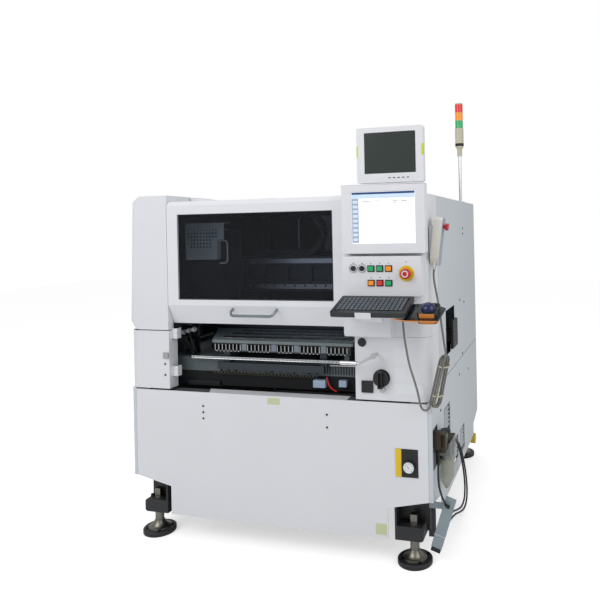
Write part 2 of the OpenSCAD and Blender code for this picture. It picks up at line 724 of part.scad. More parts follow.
comb_groups = [[0, 6], [9, 14], [17, 20], [23, 27], [30, 34]];
module feeder_comb() color("gray") {
    teeth = floor((comb_x[1] - comb_x[0] - 12) / feeder_pitch);
    bar_y = bank_y[0] + 40;
    difference() {
        block(comb_x, [bank_y[0], bank_y[0] + 14], [feeder_z - 48, feeder_z - 12]);
        for (g = comb_groups) if (g[0] < teeth) for (k = [g[0] : min(g[1], teeth - 1)])
            block([comb_x[0] + 6 + k * feeder_pitch, comb_x[0] + 6 + k * feeder_pitch + feeder_slot + 2],
                  [bank_y[0] - 1, bank_y[0] + 11], [feeder_z - 42, feeder_z - 16]);
    }
    // hanger plates, the dotted stop bar and the band below it
    for (x = [comb_x[0] + 20, comb_x[1] - 150])
        block([x, x + 30], [bar_y, bar_y + 6], [724, feeder_z - 12]);
    difference() {
        block([bank_x[0] + 40, comb_x[1] - 46], [bar_y - 14, bar_y + 1], [762, 773]);
        for (x = [bank_x[0] + 50 : feeder_pitch : comb_x[1] - 54]) rod_y([x, bar_y - 15, 767.5], 4, 4);
    }
    block([comb_x[0] - 6, comb_x[1] - 130], [bar_y - 10, bar_y + 1], [718, 748]);
    // tabs that guide the used tape down
    for (x = [comb_x[0] + 4 : 2 * feeder_pitch : comb_x[1] - 145])
        block([x, x + 10], [bar_y - 6, bar_y - 2], [704, 719]);
}

// ---------- operator side ----------

monitor_z = 1214;
module monitor_housing() color("gainsboro") difference() {
    translate([monitor_x[0], 0, monitor_z]) rotate([90, 0, 0])
        linear_extrude(monitor_d) rounded_square([monitor_w, monitor_h], 6);
    // recess for the screen and the drip gap below
    block([monitor_x[0] + 40, monitor_x[0] + 293], [-monitor_d - 1, -monitor_d + 9],
          [monitor_z + 38, monitor_z + 237]);
    block([monitor_x[0] + 20, monitor_x[0] + 310], [-monitor_d + 6, 1], [monitor_z - 1, monitor_z + 8]);
}

module main_screen() color("aliceblue")
    block([monitor_x[0] + 41, monitor_x[0] + 292], [-monitor_d + 5, -monitor_d + 9],
          [monitor_z + 39, monitor_z + 236]);

panel_x = [monitor_x[0], monitor_x[0] + 312];
panel_z = [1052, 1204];
button_at = [for (r = [0, 1], c = [0 : 2]) [monitor_x[0] + 116 + c * button_pitch, 1157 - r * 55]];
stop_at = [monitor_x[0] + 255, 1138];
switch_at = [monitor_x[0] + 80, 1158];
stop_d = 22;
module operation_panel() color("gainsboro") difference() {
    translate([panel_x[0], 0, panel_z[0]]) rotate([90, 0, 0])
        linear_extrude(monitor_d) rounded_square([panel_x[1] - panel_x[0], panel_z[1] - panel_z[0]], 4);
    for (b = button_at)
        block([b[0] - button_w / 2 - 0.5, b[0] + button_w / 2 + 0.5], [-monitor_d - 1, -monitor_d + 20],
              [b[1] - 9, b[1] + 9]);
    rod_y([stop_at[0], -monitor_d - 1, stop_at[1]], stop_d + 0.6, 34);
    rod_y([switch_at[0], -monitor_d - 1, switch_at[1]], 12.1, 22);
}

// Button frames, stop disc and the fittings on the lower right box
breaker_at = [half_w - 195, 728];
meter_at = [half_w - 254, 692];
module panel_fittings() color("black") {
    face = -monitor_d;
    for (b = button_at) plate_xz(face - 3, 3) difference() {
        translate([b[0] - 14, b[1] - 12.5]) square([28, 25]);
        translate([b[0] - button_w / 2 - 0.5, b[1] - 9]) square([button_w + 1, 18]);
    }
    plate_xz(face - 2, 2) difference() {
        translate(stop_at) circle(30);
        translate(stop_at) circle(stop_d / 2 + 0.4);
    }
    rod_y([switch_at[0] - 35, face - 8, switch_at[1]], 20, 8);
    // fixed black grommet, hour meter, breaker collar, lamp switch collar and lock
    rod_y([half_w - 273, -4, 865], 34, 4);
    block([meter_at[0] - 23, meter_at[0] + 23], [-7, 0], [meter_at[1] - 23, meter_at[1] + 23]);
    plate_xz(-6, 6) difference() {
        translate(breaker_at) circle(34);
        translate(breaker_at) circle(6.05);
    }
    rod_y([half_w - 192, -10, 683], 22, 10);
    // gauge in its window
    block([gauge_x - 45.5, gauge_x + 45.5], [-3, 0], [gauge_z - 55, gauge_z + 55]);
    rod_y([gauge_x + 9, -12, gauge_z - 14], 52, 9.5);
    rod_y([gauge_x + 9, -1, gauge_z - 14], 30, skin + 1);
    // latch on the left box
    block([-left_box_in - 28, -left_box_in - 2], [-5, 0], [770, 796]);
}

module push_button(n) {
    b = button_at[n];
    block([b[0] - button_w / 2, b[0] + button_w / 2], [-monitor_d - 7, -monitor_d + 12], [b[1] - 8.5, b[1] + 8.5]);
}
module button_1() color("darkgreen") push_button(0);
module button_2() color("darkgreen") push_button(1);
module button_3() color("orange") push_button(2);
module button_4() color("orange") push_button(3);
module button_5() color("red") push_button(4);
module button_6() color("darkgreen") push_button(5);

// Mushroom head on its stem
module mushroom(d, h, stem) {
    rotate_extrude() {
        square([stem / 2, 34]);
        translate([0, 22]) square([d / 2 - 4, h]);
        translate([0, 22]) square([d / 2, h - 4]);
        translate([d / 2 - 4, 22 + h - 4]) circle(4);
    }
}

module stop_button() color("red")
    translate([stop_at[0], -monitor_d + 14, stop_at[1]]) rotate([90, 0, 0]) mushroom(39, 18, stop_d);

module lamp_switch() color("black") translate([switch_at[0], -monitor_d, switch_at[1]]) rotate([90, 0, 0]) {
    translate([0, 0, -18]) cylinder(d = 12, h = 20);
    translate([0, 0, 0.5]) cylinder(d = 20, h = 8);
    translate([-2.5, -9, 8]) cube([5, 18, 5]);
}

module main_switch() color("black") translate([breaker_at[0], -6, breaker_at[1]]) rotate([90, 0, 0]) {
    translate([0, 0, -4]) cylinder(d = 12, h = 6);
    translate([0, 0, 0.5]) cylinder(d = 60, h = 14);
    difference() {
        translate([-9, -36, 10]) cube([18, 66, 16]);
        translate([-5, -30, 16]) cube([10, 54, 11]);
    }
}

// Lever that clamps the feeder bank: a boss, a bent arm and a grip
lever_at = [half_w - 213, 821];
shaft_d = 12;
module bank_lever() color("silver") translate([lever_at[0], 0, lever_at[1]]) rotate([90, 0, 0]) {
    translate([0, 0, -14]) cylinder(d = shaft_d, h = 62);
    translate([0, 0, 40]) cylinder(d = 22, h = 10);
    translate([-58, -30, 0]) translate([0, 0, 41]) cylinder(d = 14, h = 8);
    hull() {
        translate([0, 0, 42]) cylinder(d = 12, h = 6, $fn = 24);
        translate([-58, -30, 42]) cylinder(d = 10, h = 6, $fn = 24);
    }
    translate([-58, -30, 45]) rotate([0, -90, 0]) cylinder(d = 9, h = 12);
    translate([-68, -30, 45]) rotate([0, -90, 0]) cylinder(d = 18, h = 66);
}

// Curved housing under the panel and the sloping tray on it
module on_slope() translate([tray_x, tray_y, tray_z]) rotate([tray_slope, 0, 0]) children();

module tray_arm() color("gainsboro") {
    translate([monitor_x[0], 0, 0]) rotate([90, 0, 90]) linear_extrude(188) union() {
        translate([-46, 945]) square([46, 1051 - 945]);
        difference() {
            translate([-46, 894]) square([46, 52]);
            translate([-130, 860]) circle(96, $fn = 64);
        }
    }
    // arm out from the housing and the tray plate
    block([monitor_x[0] + 104, monitor_x[0] + 156], [-130, -40], [976, 1000]);
    on_slope() {
        translate([-keyboard_w / 2 + 12, -keyboard_d / 2 + 6, tray_under])
            cube([keyboard_w - 20, keyboard_d - 12, 5]);
        translate([-30, -60, -32]) cube([78, 90, 22]);
        translate([-45, -keyboard_d / 2 - 4, tray_under]) cube([60, 3, 24]);
        translate([-45, -keyboard_d / 2 - 4, tray_under]) cube([60, 14, 4]);
    }
}

module keyboard() color("darkslategray") on_slope() {
    difference() {
        translate([-keyboard_w / 2, -keyboard_d / 2, tray_under + 5])
            linear_extrude(18) rounded_square([keyboard_w, keyboard_d], 8);
        translate([-keyboard_w / 2 + 12, -keyboard_d / 2 + 22, 6]) cube([keyboard_w - 24, keyboard_d - 40, 6]);
    }
    for (r = [0 : 5], c = [0 : 14])
        translate([-keyboard_w / 2 + 16 + c * (keyboard_w - 32) / 15,
                   -keyboard_d / 2 + 24 + r * (keyboard_d - 44) / 6, 5])
            cube([(keyboard_w - 32) / 15 - 3, (keyboard_d - 44) / 6 - 3, 8]);
}

// Small tray for the trackball beside the keyboard, and the housing that holds the ball
ball_d = 55;
gland_x = half_w - 90 - tray_x;         // gland's place under the tray, fixed on the machine
ball_at = [mouse_x + 67, -19, 0.5];
module mouse_tray() color("black") on_slope() {
    difference() {
        translate([0, 0, tray_under - 5]) linear_extrude(5)
            polygon([[mouse_x - 60, -66], [mouse_x - 60, 56], [mouse_x + 70, 62], [mouse_x + 122, 24],
                     [mouse_corner[0] - 10, -mouse_corner[1]], [mouse_x - 4, -mouse_corner[1]]]);
        translate(ball_at) sphere(d = ball_d + 2 * fit);
    }
    // gland for the lead below the plate
    translate([gland_x, 44, tray_under - 19]) cylinder(d = 14, h = 15);
    difference() {
        translate([mouse_x + 30, -62, tray_under - 24]) linear_extrude(40) rounded_square([74, 96], 20);
        translate(ball_at) sphere(d = ball_d + 2 * fit);
    }
}

module trackball() color("midnightblue") on_slope() translate(ball_at) sphere(d = ball_d);

// Second screen on a tilting bracket above the monitor
lcd_w = 265;
lcd_h = 214;
lcd_x = half_w - 140;
lcd_z = body_h + 152;
lcd_y = 12;
lcd_pivot = 34;                        // tilt axis behind the screen's back
lcd_knuckle = 36;
module lcd_monitor() color("gainsboro") translate([lcd_x, lcd_y, lcd_z]) {
    difference() {
        translate([-lcd_w / 2, 0, -lcd_h / 2]) rotate([90, 0, 0])
            linear_extrude(34) rounded_square([lcd_w, lcd_h], 8);
        translate([-99, -36, -66]) cube([198, 5, 153]);
    }
    translate([-60, -1, -45]) cube([120, 16, 90]);
    difference() {
        union() {
            translate([-lcd_knuckle / 2, 14, -14]) cube([lcd_knuckle, lcd_pivot - 14, 28]);
            rod_x([-lcd_knuckle / 2, lcd_pivot, 0], 28, lcd_knuckle);
        }
        rod_x([-lcd_knuckle / 2 - 1, lcd_pivot, 0], shaft_d + 0.1, lcd_knuckle + 2);
    }
}

// ---------- pendant ----------

pendant_z = 1165;                      // underside of the pendant's body
pendant_h = 186;
pendant_w = 34;
lean = 7;                              // the pendant's top leans out from the side

// The pendant's own axes, with its inner face at x = 0
module at_pendant() translate([half_w + 0.5, 0, pendant_z]) rotate([0, lean, 0]) children();

// Wedge on the side cover that the pendant's back rests on
module pendant_holder() color("gainsboro") difference() {
    block([half_w, half_w + 19], [18, 60], [pendant_z + 45, pendant_z + 150]);
    at_pendant() translate([0, 0, -20]) cube([60, 80, pendant_h + 40]);
}

module pendant() color("whitesmoke") at_pendant() {
    difference() {
        rotate([90, 0, 90]) linear_extrude(pendant_w)
            polygon([[8, 32], [30, 0], [64, 0], [70, 6], [70, pendant_h - 8], [62, pendant_h],
                     [18, pendant_h], [8, pendant_h - 10]]);
        // keypad's recess and the stop button's bore
        translate([pendant_w - 2, 16, 40]) cube([3, 48, 90]);
        translate([6, stop_y, stop_z]) rotate([0, 90, 0]) cylinder(d = 16.6, h = 40);
    }
    // gland in the slanted foot
    translate([17, 24, -14]) cylinder(d = 14, h = 30);
}

stop_y = 40;
stop_z = 152;
module pendant_stop() color("red") at_pendant() translate([14, stop_y, stop_z]) rotate([0, 90, 0]) {
    cylinder(d = 16, h = 34);
    translate([0, 0, 28]) cylinder(d = 28, h = 12);
}

// ---------- signal tower ----------

tower_at = [half_w - 40, 1040];
tower_top = body_h + tower_h;
tower_cap = 8;
lens_gap = 2;                          // ring between two lenses
lens_top = tower_top - tower_cap;
lens_z = lens_top - 3 * lens_h;
module tower_pole() color("lightgray") translate([tower_at[0], tower_at[1], 0]) {
    rod([0, 0, body_h], 44, 8);
    rod([0, 0, body_h], 16, lens_z - 150 - body_h);
    rod([0, 0, lens_z - 152], 27, 42);
    rotate_extrude() polygon([[0, lens_z - 112], [16, lens_z - 112], [lens_d / 2 + 2, lens_z - 96],
                              [lens_d / 2 + 2, lens_z], [0, lens_z]]);
    rod([0, 0, lens_z - 1], 10, lens_top - lens_z + 2);
    for (k = [1, 2]) rod([0, 0, lens_z + k * lens_h - lens_gap], lens_d - 1, lens_gap);
    rotate_extrude() polygon([[0, lens_top], [lens_d / 2, lens_top], [lens_d / 2, tower_top - 3],
                              [lens_d / 2 - 3, tower_top], [0, tower_top]]);
}

module tower_lenses() for (k = [0 : 2]) color(["green", "orange", "red"][k])
    translate([tower_at[0], tower_at[1], lens_z + k * lens_h]) difference() {
        cylinder(d = lens_d, h = lens_h - (k < 2 ? lens_gap : 0));
        translate([0, 0, -1]) cylinder(d = lens_d - 6, h = lens_h + 2);
    }

// ---------- right side services ----------

frl_x = half_w;
module air_unit() color("silver") {
    // mounting bracket, manifold blocks and the two heads
    block([frl_x, frl_x + 4], [90, 240], [360, 470]);
    block([frl_x + 3, frl_x + 48], [110, 170], [400, 452]);
    block([frl_x + 3, frl_x + 48], [178, 236], [400, 452]);
    block([frl_x + 14, frl_x + 36], [169, 179], [412, 440]);
    rod([frl_x + 26, 140, 380], 44, 30);
    rod([frl_x + 26, 207, 380], 44, 30);
    // black solenoid block on the opening's edge
    block([frl_x, frl_x + 40], [60, 111], [430, 500]);
    difference() {
        rod([frl_x + 26, 140, 451], 30, 20);
        rod([frl_x + 26, 140, 455], 16.1, 20);
    }
    block([frl_x, frl_x + 26], [30, 61], [452, 520]);
}

module air_bowls() color("gray") for (y = [140, 207]) translate([frl_x + 26, y, 0])
    rotate_extrude() polygon([[0, 262], [6, 262], [14, 276], [20, 290], [20, 380], [0, 380]]);

module regulator_knob() color("black") translate([frl_x + 26, 140, 0]) {
    rod([0, 0, 456], 16, 20);
    rod([0, 0, 472], 40, 26);
}

// Long grey connector box that hangs on a strap from the front post, and the
// conveyor's drive box, which is bolted on over the right side's opening
box_tilt = 17.5;
drive_z = [762, 886];
module cable_box() color("slategray") {
    block([half_w, half_w + 12], [opening_y[0] + 108, opening_y[1] - 31], drive_z);
    block([wall_x + 2, half_w + 1], [opening_y[0] + 118, opening_y[1] - 38],
          [opening_z[0] + 38, transport_h - 58]);
    translate([half_w + 61, 40, 262]) rotate([0, box_tilt, 0]) {
        translate([-21, -15, -196]) cube([42, 30, 196]);
        translate([-19, -13, -214]) cube([38, 26, 19]);
    }
    block([half_w - skin - 22, half_w + 34], [36, 44], [bracket_z - 40, bracket_z - 16]);
    block([half_w - skin - 22, half_w - skin - 1], [36, 44], [bracket_z - 17, bracket_z]);
}

// Round mains inlet on a strap below the side rail
plug_y = 1120;
plug_z = 130;
module rear_plug() color("goldenrod") {
    block([half_w - 46, half_w - 42], [plug_y - 15, plug_y + 15], [plug_z - 10, bracket_z]);
    rod_x([half_w - 68, plug_y, plug_z], 44, 47);
    rod_x([half_w - 22, plug_y, plug_z], 54, 26);
}

// ---------- safety cover ----------

cover_x = [-cover_left, cover_right];
hinge_y = cover_top_d + 6;
hinge_z = body_h + 2;
hinge_at = [80 - cover_left, cover_mid - 6, cover_right - 92];   // left ends of the three hinges
knuckle_d = 14;
knuckle_w = 30;
pin_d = 6;
window_x = [window_left - cover_left, cover_right - window_right];
window_zz = [window_z, window_z + window_h];
lip_run = 40;                          // how far the lip runs back from the fold
handle_w = 200;

module cover_profile() {
    // front sheet, fold and lip, bent top and hinge leaf
    polygon([[0, fold_z], [lip_run, lip_z], [lip_run + 3, lip_z + 2], [skin, fold_z + 1], [skin, body_h - 14],
             [20, body_h - 1], [hinge_y - 8, body_h - 1], [hinge_y - 8, body_h + skin - 1],
             [16, body_h + skin - 1], [0, body_h - 16]]);
}

module safety_cover() color("whitesmoke") {
    difference() {
        translate([cover_x[0], 0, 0]) rotate([90, 0, 90]) linear_extrude(cover_x[1] - cover_x[0]) cover_profile();
        block(window_x, [-1, skin + 1], window_zz);
    }
    // end gussets that stiffen the bent sheet
    for (x = [cover_x[0], cover_x[1] - skin])
        translate([x, 0, 0]) rotate([90, 0, 90]) linear_extrude(skin)
            polygon([[1, fold_z], [lip_run, lip_z], [lip_run + 2, lip_z], [30, fold_z], [30, body_h - 40],
                     [60, body_h], [20, body_h], [1, body_h - 16]]);
    // window clamps
    for (z = [window_z - 14, window_z + window_h + 2])
        block([window_x[0] - 12, window_x[1] + 12], [skin - 1, skin + 6], [z, z + 12]);
    // moving half of each hinge
    for (x = hinge_at) difference() {
        union() {
            rod_x([x, hinge_y, hinge_z], knuckle_d, knuckle_w);
            block([x, x + knuckle_w], [hinge_y - 10, hinge_y], [body_h - 1, body_h + skin - 1]);
        }
        rod_x([x - 1, hinge_y, hinge_z], pin_d + 0.1, knuckle_w + 2);
    }
}

module cover_window() color([0.25, 0.28, 0.33, 0.5])
    block([window_x[0] - 8, window_x[1] + 8], [skin, skin + 4], [window_z - 2, window_z + window_h + 2]);

// Bow handle that stands square on the sloping lip
module cover_handle() color("gray") {
    slope = atan2(fold_z - lip_z, lip_run);
    drop = 14;
    x = [cover_mid - handle_w / 2, cover_mid + handle_w / 2];
    ends = [[0, 0, 0], [0, 0, 14], [1, -2, 24], [6, -6, 33], [16, -8, 37]];
    translate([0, drop / tan(slope), fold_z - drop]) rotate([180 - slope, 0, 0])
        tube(concat([for (p = ends) [x[0] + p[0], p[1], p[2]]],
                    [for (k = [4 : -1 : 0]) [x[1] - ends[k][0], ends[k][1], ends[k][2]]]), 12, 8);
}

// ---------- cords ----------

// Their points are measured from the right side's face.
// Pendant lead from its gland down to the hank, and from the hank up to the tray's gland
cord_d = 8;
pendant_route = [[16, 24, 1149], [14, 24, 1120], [22, 20, 1070], [35, 12, 1000],
                 [45, 6, 930], [53, 2, 870], [61, 0, 831]];
tray_route = [[1, -2, 655], [-13, -14, 664], [-35, -30, 690], [-57, -40, 740], [-73, -46, 800],
              [-85, -50, 870], [-90, -54, 930], [-90, -62, 975], [-90, -70, 1002]];
module at_side() translate([half_w, 0, 0]) children();

module pendant_cable() color("gray") at_side() {
    tube(smooth(pendant_route, 4), cord_d, 8);
    tube(smooth(tray_route, 4), cord_d, 8);
}

// The lead's spare length, folded and tied
hank_at = [38.5, 0, 725];
hank_tilt = 13;
hank_w = 40;
hank_l = 208;
module cable_hank() color("gray") at_side()
    translate(hank_at) rotate([0, hank_tilt, 0]) translate([0, 16, 0]) rotate([90, 0, 0])
        linear_extrude(32) union() {
            translate([-hank_w / 2, -hank_l / 2 + hank_w / 2]) square([hank_w, hank_l - hank_w]);
            for (z = [-1, 1]) translate([0, z * (hank_l - hank_w) / 2]) circle(hank_w / 2);
        }

// Black leads from the air unit round to the back of the grey box, and one to its front
side_route = [[26, 236, 426], [26, 290, 417], [26, 380, 370], [26, 460, 301], [26, 540, 200],
              [26, 580, 120], [26, 586, 66], [26, 556, 34], [26, 500, 32], [26, 441, 46],
              [26, 360, 74], [26, 280, 104], [27, 180, 134], [28, 100, 154], [29, 55, 160]];
front_route = [[15, 45, 452], [15, 45, 420], [13, 40, 370], [17, 28, 320], [29, 15, 285],
               [41, 10, 262], [49, 14, 246], [52, 25, 238]];
module side_cables() color("black") at_side() {
    for (dx = [0, 10]) translate([dx, 0, -dx]) tube(smooth(side_route, 3), cord_d, 8);
    tube(smooth(front_route, 3), cord_d, 8);
}

// ---------- assembly ----------

at_frame() base_frame();
at_frame() foot_brackets();
at_frame() levelling_feet();
at_frame() front_panel();
at_frame() side_panel_left();
at_frame() side_panel_right();
at_frame() rear_cover();
at_frame() top_cover();
at_frame() upper_side_left();
at_frame() upper_side_right();
at_frame() left_column();
at_frame() left_box();
at_frame() right_column();
at_frame() right_box();
at_frame() machine_bed();
at_frame() y_guides();
at_frame() conveyor_rail_front();
at_frame() feeder_plate();
at_frame() feeder_comb();
at_frame() monitor_housing();
at_frame() main_screen();
at_frame() operation_panel();
at_frame() panel_fittings();
at_frame() tray_arm();
at_frame() keyboard();
at_frame() mouse_tray();
at_frame() pendant();
at_frame() pendant_holder();
at_frame() tower_pole();
at_frame() tower_lenses();
at_frame() air_unit();
at_frame() air_bowls();
at_frame() cable_box();
at_frame() rear_plug();
at_frame() safety_cover();
at_frame() cover_window();
at_frame() cover_handle();
at_frame() gantry_beam();
at_frame() energy_chain();
at_frame() placement_head();
at_frame() head_guard();
at_frame() spindles();
at_frame() conveyor_rail_rear();
at_frame() bank_lever();
at_frame() button_1();
at_frame() button_2();
at_frame() button_3();
at_frame() button_4();
at_frame() button_5();
at_frame() button_6();
at_frame() stop_button();
at_frame() main_switch();
at_frame() lamp_switch();
at_frame() lcd_monitor();
at_frame() trackball();
at_frame() pendant_stop();
at_frame() regulator_knob();
at_frame() pendant_cable();
at_frame() cable_hank();
at_frame() side_cables();
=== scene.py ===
import json
import math

import bmesh
import bpy
from bpy.props import FloatProperty, FloatVectorProperty, PointerProperty
from mathutils import Matrix, Vector


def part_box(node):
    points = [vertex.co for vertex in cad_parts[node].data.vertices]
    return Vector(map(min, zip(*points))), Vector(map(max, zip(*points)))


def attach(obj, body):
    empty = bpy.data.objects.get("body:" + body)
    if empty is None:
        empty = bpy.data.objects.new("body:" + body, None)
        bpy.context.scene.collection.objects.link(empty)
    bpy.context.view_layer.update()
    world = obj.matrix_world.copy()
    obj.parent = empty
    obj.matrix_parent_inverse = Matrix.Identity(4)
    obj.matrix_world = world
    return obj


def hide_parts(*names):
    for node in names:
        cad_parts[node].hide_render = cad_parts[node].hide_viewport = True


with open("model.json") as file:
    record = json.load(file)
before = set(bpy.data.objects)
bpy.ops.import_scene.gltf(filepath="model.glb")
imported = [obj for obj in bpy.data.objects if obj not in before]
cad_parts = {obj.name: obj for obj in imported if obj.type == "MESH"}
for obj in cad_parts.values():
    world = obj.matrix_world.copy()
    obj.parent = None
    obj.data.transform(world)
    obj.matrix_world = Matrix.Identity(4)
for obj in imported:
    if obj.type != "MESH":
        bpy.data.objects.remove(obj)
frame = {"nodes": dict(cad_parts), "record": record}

bl_info = {
    "name": "Placement machine",
    "version": (1, 0, 0),
    "blender": (4, 5, 0),
    "location": "3D View > Sidebar > Placer",
    "description": "Finishes a surface-mount placement machine piece by piece",
    "category": "Object",
}

MM = 0.001
RECORD = frame["record"]
BODY_OF = {n: b for b, nodes in RECORD["behaviour"]["bodies"].items() for n in nodes}
SLOT_OF = {part["node"]: part["material_slot"] for part in RECORD["subparts"]}

# Machine axes: x from the middle of the base frame, y back from the front panel, z up
CENTRE_X = (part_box("base_frame")[0].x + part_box("base_frame")[1].x) / 2
FRONT_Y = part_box("front_panel")[0].y


def at(x, y, z):
    """A point given in machine millimetres, in the frame's metres."""
    return Vector((x * MM + CENTRE_X, y * MM + FRONT_Y, z * MM))


def machine(point):
    """A point of the frame in machine millimetres."""
    return Vector(((point.x - CENTRE_X) / MM, (point.y - FRONT_Y) / MM, point.z / MM))


def linear(code):
    """An sRGB hex colour as linear RGBA."""
    parts = [int(code[i:i + 2], 16) / 255 for i in (0, 2, 4)]
    return tuple(c / 12.92 if c <= 0.04045 else ((c + 0.055) / 1.055) ** 2.4 for c in parts) + (1.0,)


# ---------- sizes and colours a user would change ----------

class PLACER_PG_colours(bpy.types.PropertyGroup):
    cover: FloatVectorProperty(
        name="Covers", description="Powder coat of the front and top covers",
        subtype="COLOR", size=4, min=0, max=1, default=linear("E0E2E7"))
    side: FloatVectorProperty(
        name="Sides", description="Powder coat of the side covers",
        subtype="COLOR", size=4, min=0, max=1, default=linear("CBD2D8"))
    lid: FloatVectorProperty(
        name="Safety cover", description="Powder coat of the hinged cover",
        subtype="COLOR", size=4, min=0, max=1, default=linear("E4E6EB"))
    bed: FloatVectorProperty(
        name="Bed", description="Enamel of the bed castings",
        subtype="COLOR", size=4, min=0, max=1, default=linear("5A6468"))


class PLACER_PG_sizes(bpy.types.PropertyGroup):
    edge: FloatProperty(
        name="Sheet edge", description="Rounding of folded sheet edges",
        default=0.0012, min=0.0002, max=0.004, unit="LENGTH")
    screw: FloatProperty(
        name="Cover screw", description="Head diameter of the cover screws",
        default=0.011, min=0.004, max=0.02, unit="LENGTH")
    ball_gloss: FloatProperty(
        name="Trackball roughness", description="Roughness of the polished ball",
        default=0.08, min=0.02, max=0.5, subtype="FACTOR")


class PLACER_PG_stage(bpy.types.PropertyGroup):
    camera_at: FloatVectorProperty(
        name="Camera", description="Camera's place in machine millimetres",
        size=3, default=(1160.0, -2274.0, 1307.0))
    yaw: FloatProperty(
        name="Yaw", description="Turn to the left", default=math.radians(14.89), subtype="ANGLE")
    pitch: FloatProperty(
        name="Pitch", description="Tilt down", default=math.radians(0.12), subtype="ANGLE")
    roll: FloatProperty(
        name="Roll", description="Roll of the camera", default=math.radians(-1.16), subtype="ANGLE")
    lens: FloatProperty(
        name="Lens", description="Focal length in millimetres", default=36.64, min=10, max=200)
    shift: FloatVectorProperty(
        name="Shift", description="Lens shift that frames the machine", size=2, default=(-0.1667, -0.1167))
    key: FloatProperty(
        name="Key light", description="Power of the key softbox", default=52.0, min=0, unit="POWER")
    fill: FloatProperty(
        name="Fill light", description="Power of the fill softbox", default=26.0, min=0, unit="POWER")
    sky: FloatProperty(
        name="Room light", description="Strength of the even room light", default=0.5, min=0)


# ---------- materials ----------

def add(tree, kind, settings=None, links=None):
    """One node with its settings and links. A socket goes by name or number; a link is (node, output)."""
    new = tree.nodes.new(kind)
    for key, value in (settings or {}).items():
        if isinstance(key, int) or key in new.inputs:
            new.inputs[key].default_value = value
        else:
            setattr(new, key, value)
    for key, (source, output) in (links or {}).items():
        tree.links.new(source.outputs[output], new.inputs[key])
    return new


def bare_tree(owner):
    """The empty node tree of a material or a world."""
    owner.use_nodes = True
    owner.node_tree.nodes.clear()
    return owner.node_tree


def start(name, colour, roughness, **sockets):
    """A material with its principled shader, its output and the piece's own coordinates."""
    material = bpy.data.materials.new(name)
    tree = bare_tree(material)
    shader = add(tree, "ShaderNodeBsdfPrincipled", {
        "Base Color": colour, "Roughness": roughness, **sockets})
    add(tree, "ShaderNodeOutputMaterial", {}, {"Surface": (shader, "BSDF")})
    return material, tree, shader, add(tree, "ShaderNodeTexCoord")


def tone(tree, shader, place, colour, amount, size, detail=3.0):
    """Uneven tone: the colour wanders by a share over patches of a real size in metres."""
    patches = add(tree, "ShaderNodeTexNoise", {"Scale": 1 / size, "Detail": detail}, {
        "Vector": (place, "Object")})
    dark = tuple(c * (1 - amount) for c in colour[:3]) + (1.0,)
    light = tuple(min(1.0, c * (1 + amount * 0.4)) for c in colour[:3]) + (1.0,)
    # a colour mix's sockets are 0 for the factor, 6 and 7 for the colours, and 2 for the result
    blend = add(tree, "ShaderNodeMix", {"data_type": "RGBA", 6: dark, 7: light}, {0: (patches, "Fac")})
    tree.links.new(blend.outputs[2], shader.inputs["Base Color"])


def grain(tree, shader, place, size, depth, stretch=(1, 1, 1)):
    """Surface relief of a real grain size and depth in metres."""
    stretched = add(tree, "ShaderNodeMapping", {"Scale": stretch}, {"Vector": (place, "Object")})
    noise = add(tree, "ShaderNodeTexNoise", {"Scale": 1 / size, "Detail": 2.0}, {
        "Vector": (stretched, "Vector")})
    bump = add(tree, "ShaderNodeBump", {"Strength": 1.0, "Distance": depth}, {"Height": (noise, "Fac")})
    tree.links.new(bump.outputs["Normal"], shader.inputs["Normal"])
    return noise


def powder_coat(name, colour, roughness=0.42):
    """Epoxy powder coat baked on sheet steel: a satin skin with a faint uneven tone. Real orange peel
    is about 1 mm across and is drawn at 3 mm, so that it shows."""
    material, tree, shader, place = start(name, colour, roughness, **{"Specular IOR Level": 0.45})
    tone(tree, shader, place, colour, 0.035, 0.22)
    grain(tree, shader, place, 0.003, 0.00006)
    return material


def enamel(name, colour, roughness=0.5):
    """Brushed machine enamel on a casting: 6 mm waves from sand casting and darker patches."""
    material, tree, shader, place = start(name, colour, roughness)
    tone(tree, shader, place, colour, 0.25, 0.05, 5.0)
    grain(tree, shader, place, 0.006, 0.0003)
    return material


def bare_metal(name, colour, roughness, stretch=(1, 1, 1), size=0.004, depth=0.00004):
    """Ground or machined metal: cutter marks drawn out along one axis, coarse enough to show."""
    material, tree, shader, place = start(name, colour, roughness, Metallic=1.0)
    marks = grain(tree, shader, place, size, depth, stretch)
    rough = add(tree, "ShaderNodeMapRange", {"To Min": roughness * 0.8, "To Max": roughness * 1.3}, {
        "Value": (marks, "Fac")})
    tree.links.new(rough.outputs["Result"], shader.inputs["Roughness"])
    tone(tree, shader, place, colour, 0.12, 0.03)
    return material


def moulded(name, colour, roughness=0.5, size=0.0012):
    """Injection-moulded plastic: a soft sheen over the fine grain of a spark-eroded mould, drawn at
    1.2 mm, so that it shows."""
    material, tree, shader, place = start(name, colour, roughness)
    tone(tree, shader, place, colour, 0.05, 0.08)
    grain(tree, shader, place, size, 0.00005)
    return material


def glow_cap(name, colour, glow):
    """Translucent button cap or lens with a lamp behind it: moulded clear plastic that glows a little."""
    material, tree, shader, place = start(
        name, colour, 0.22, **{"Coat Weight": 0.4, "Emission Color": colour, "Emission Strength": glow})
    tone(tree, shader, place, colour, 0.15, 0.012)
    return material


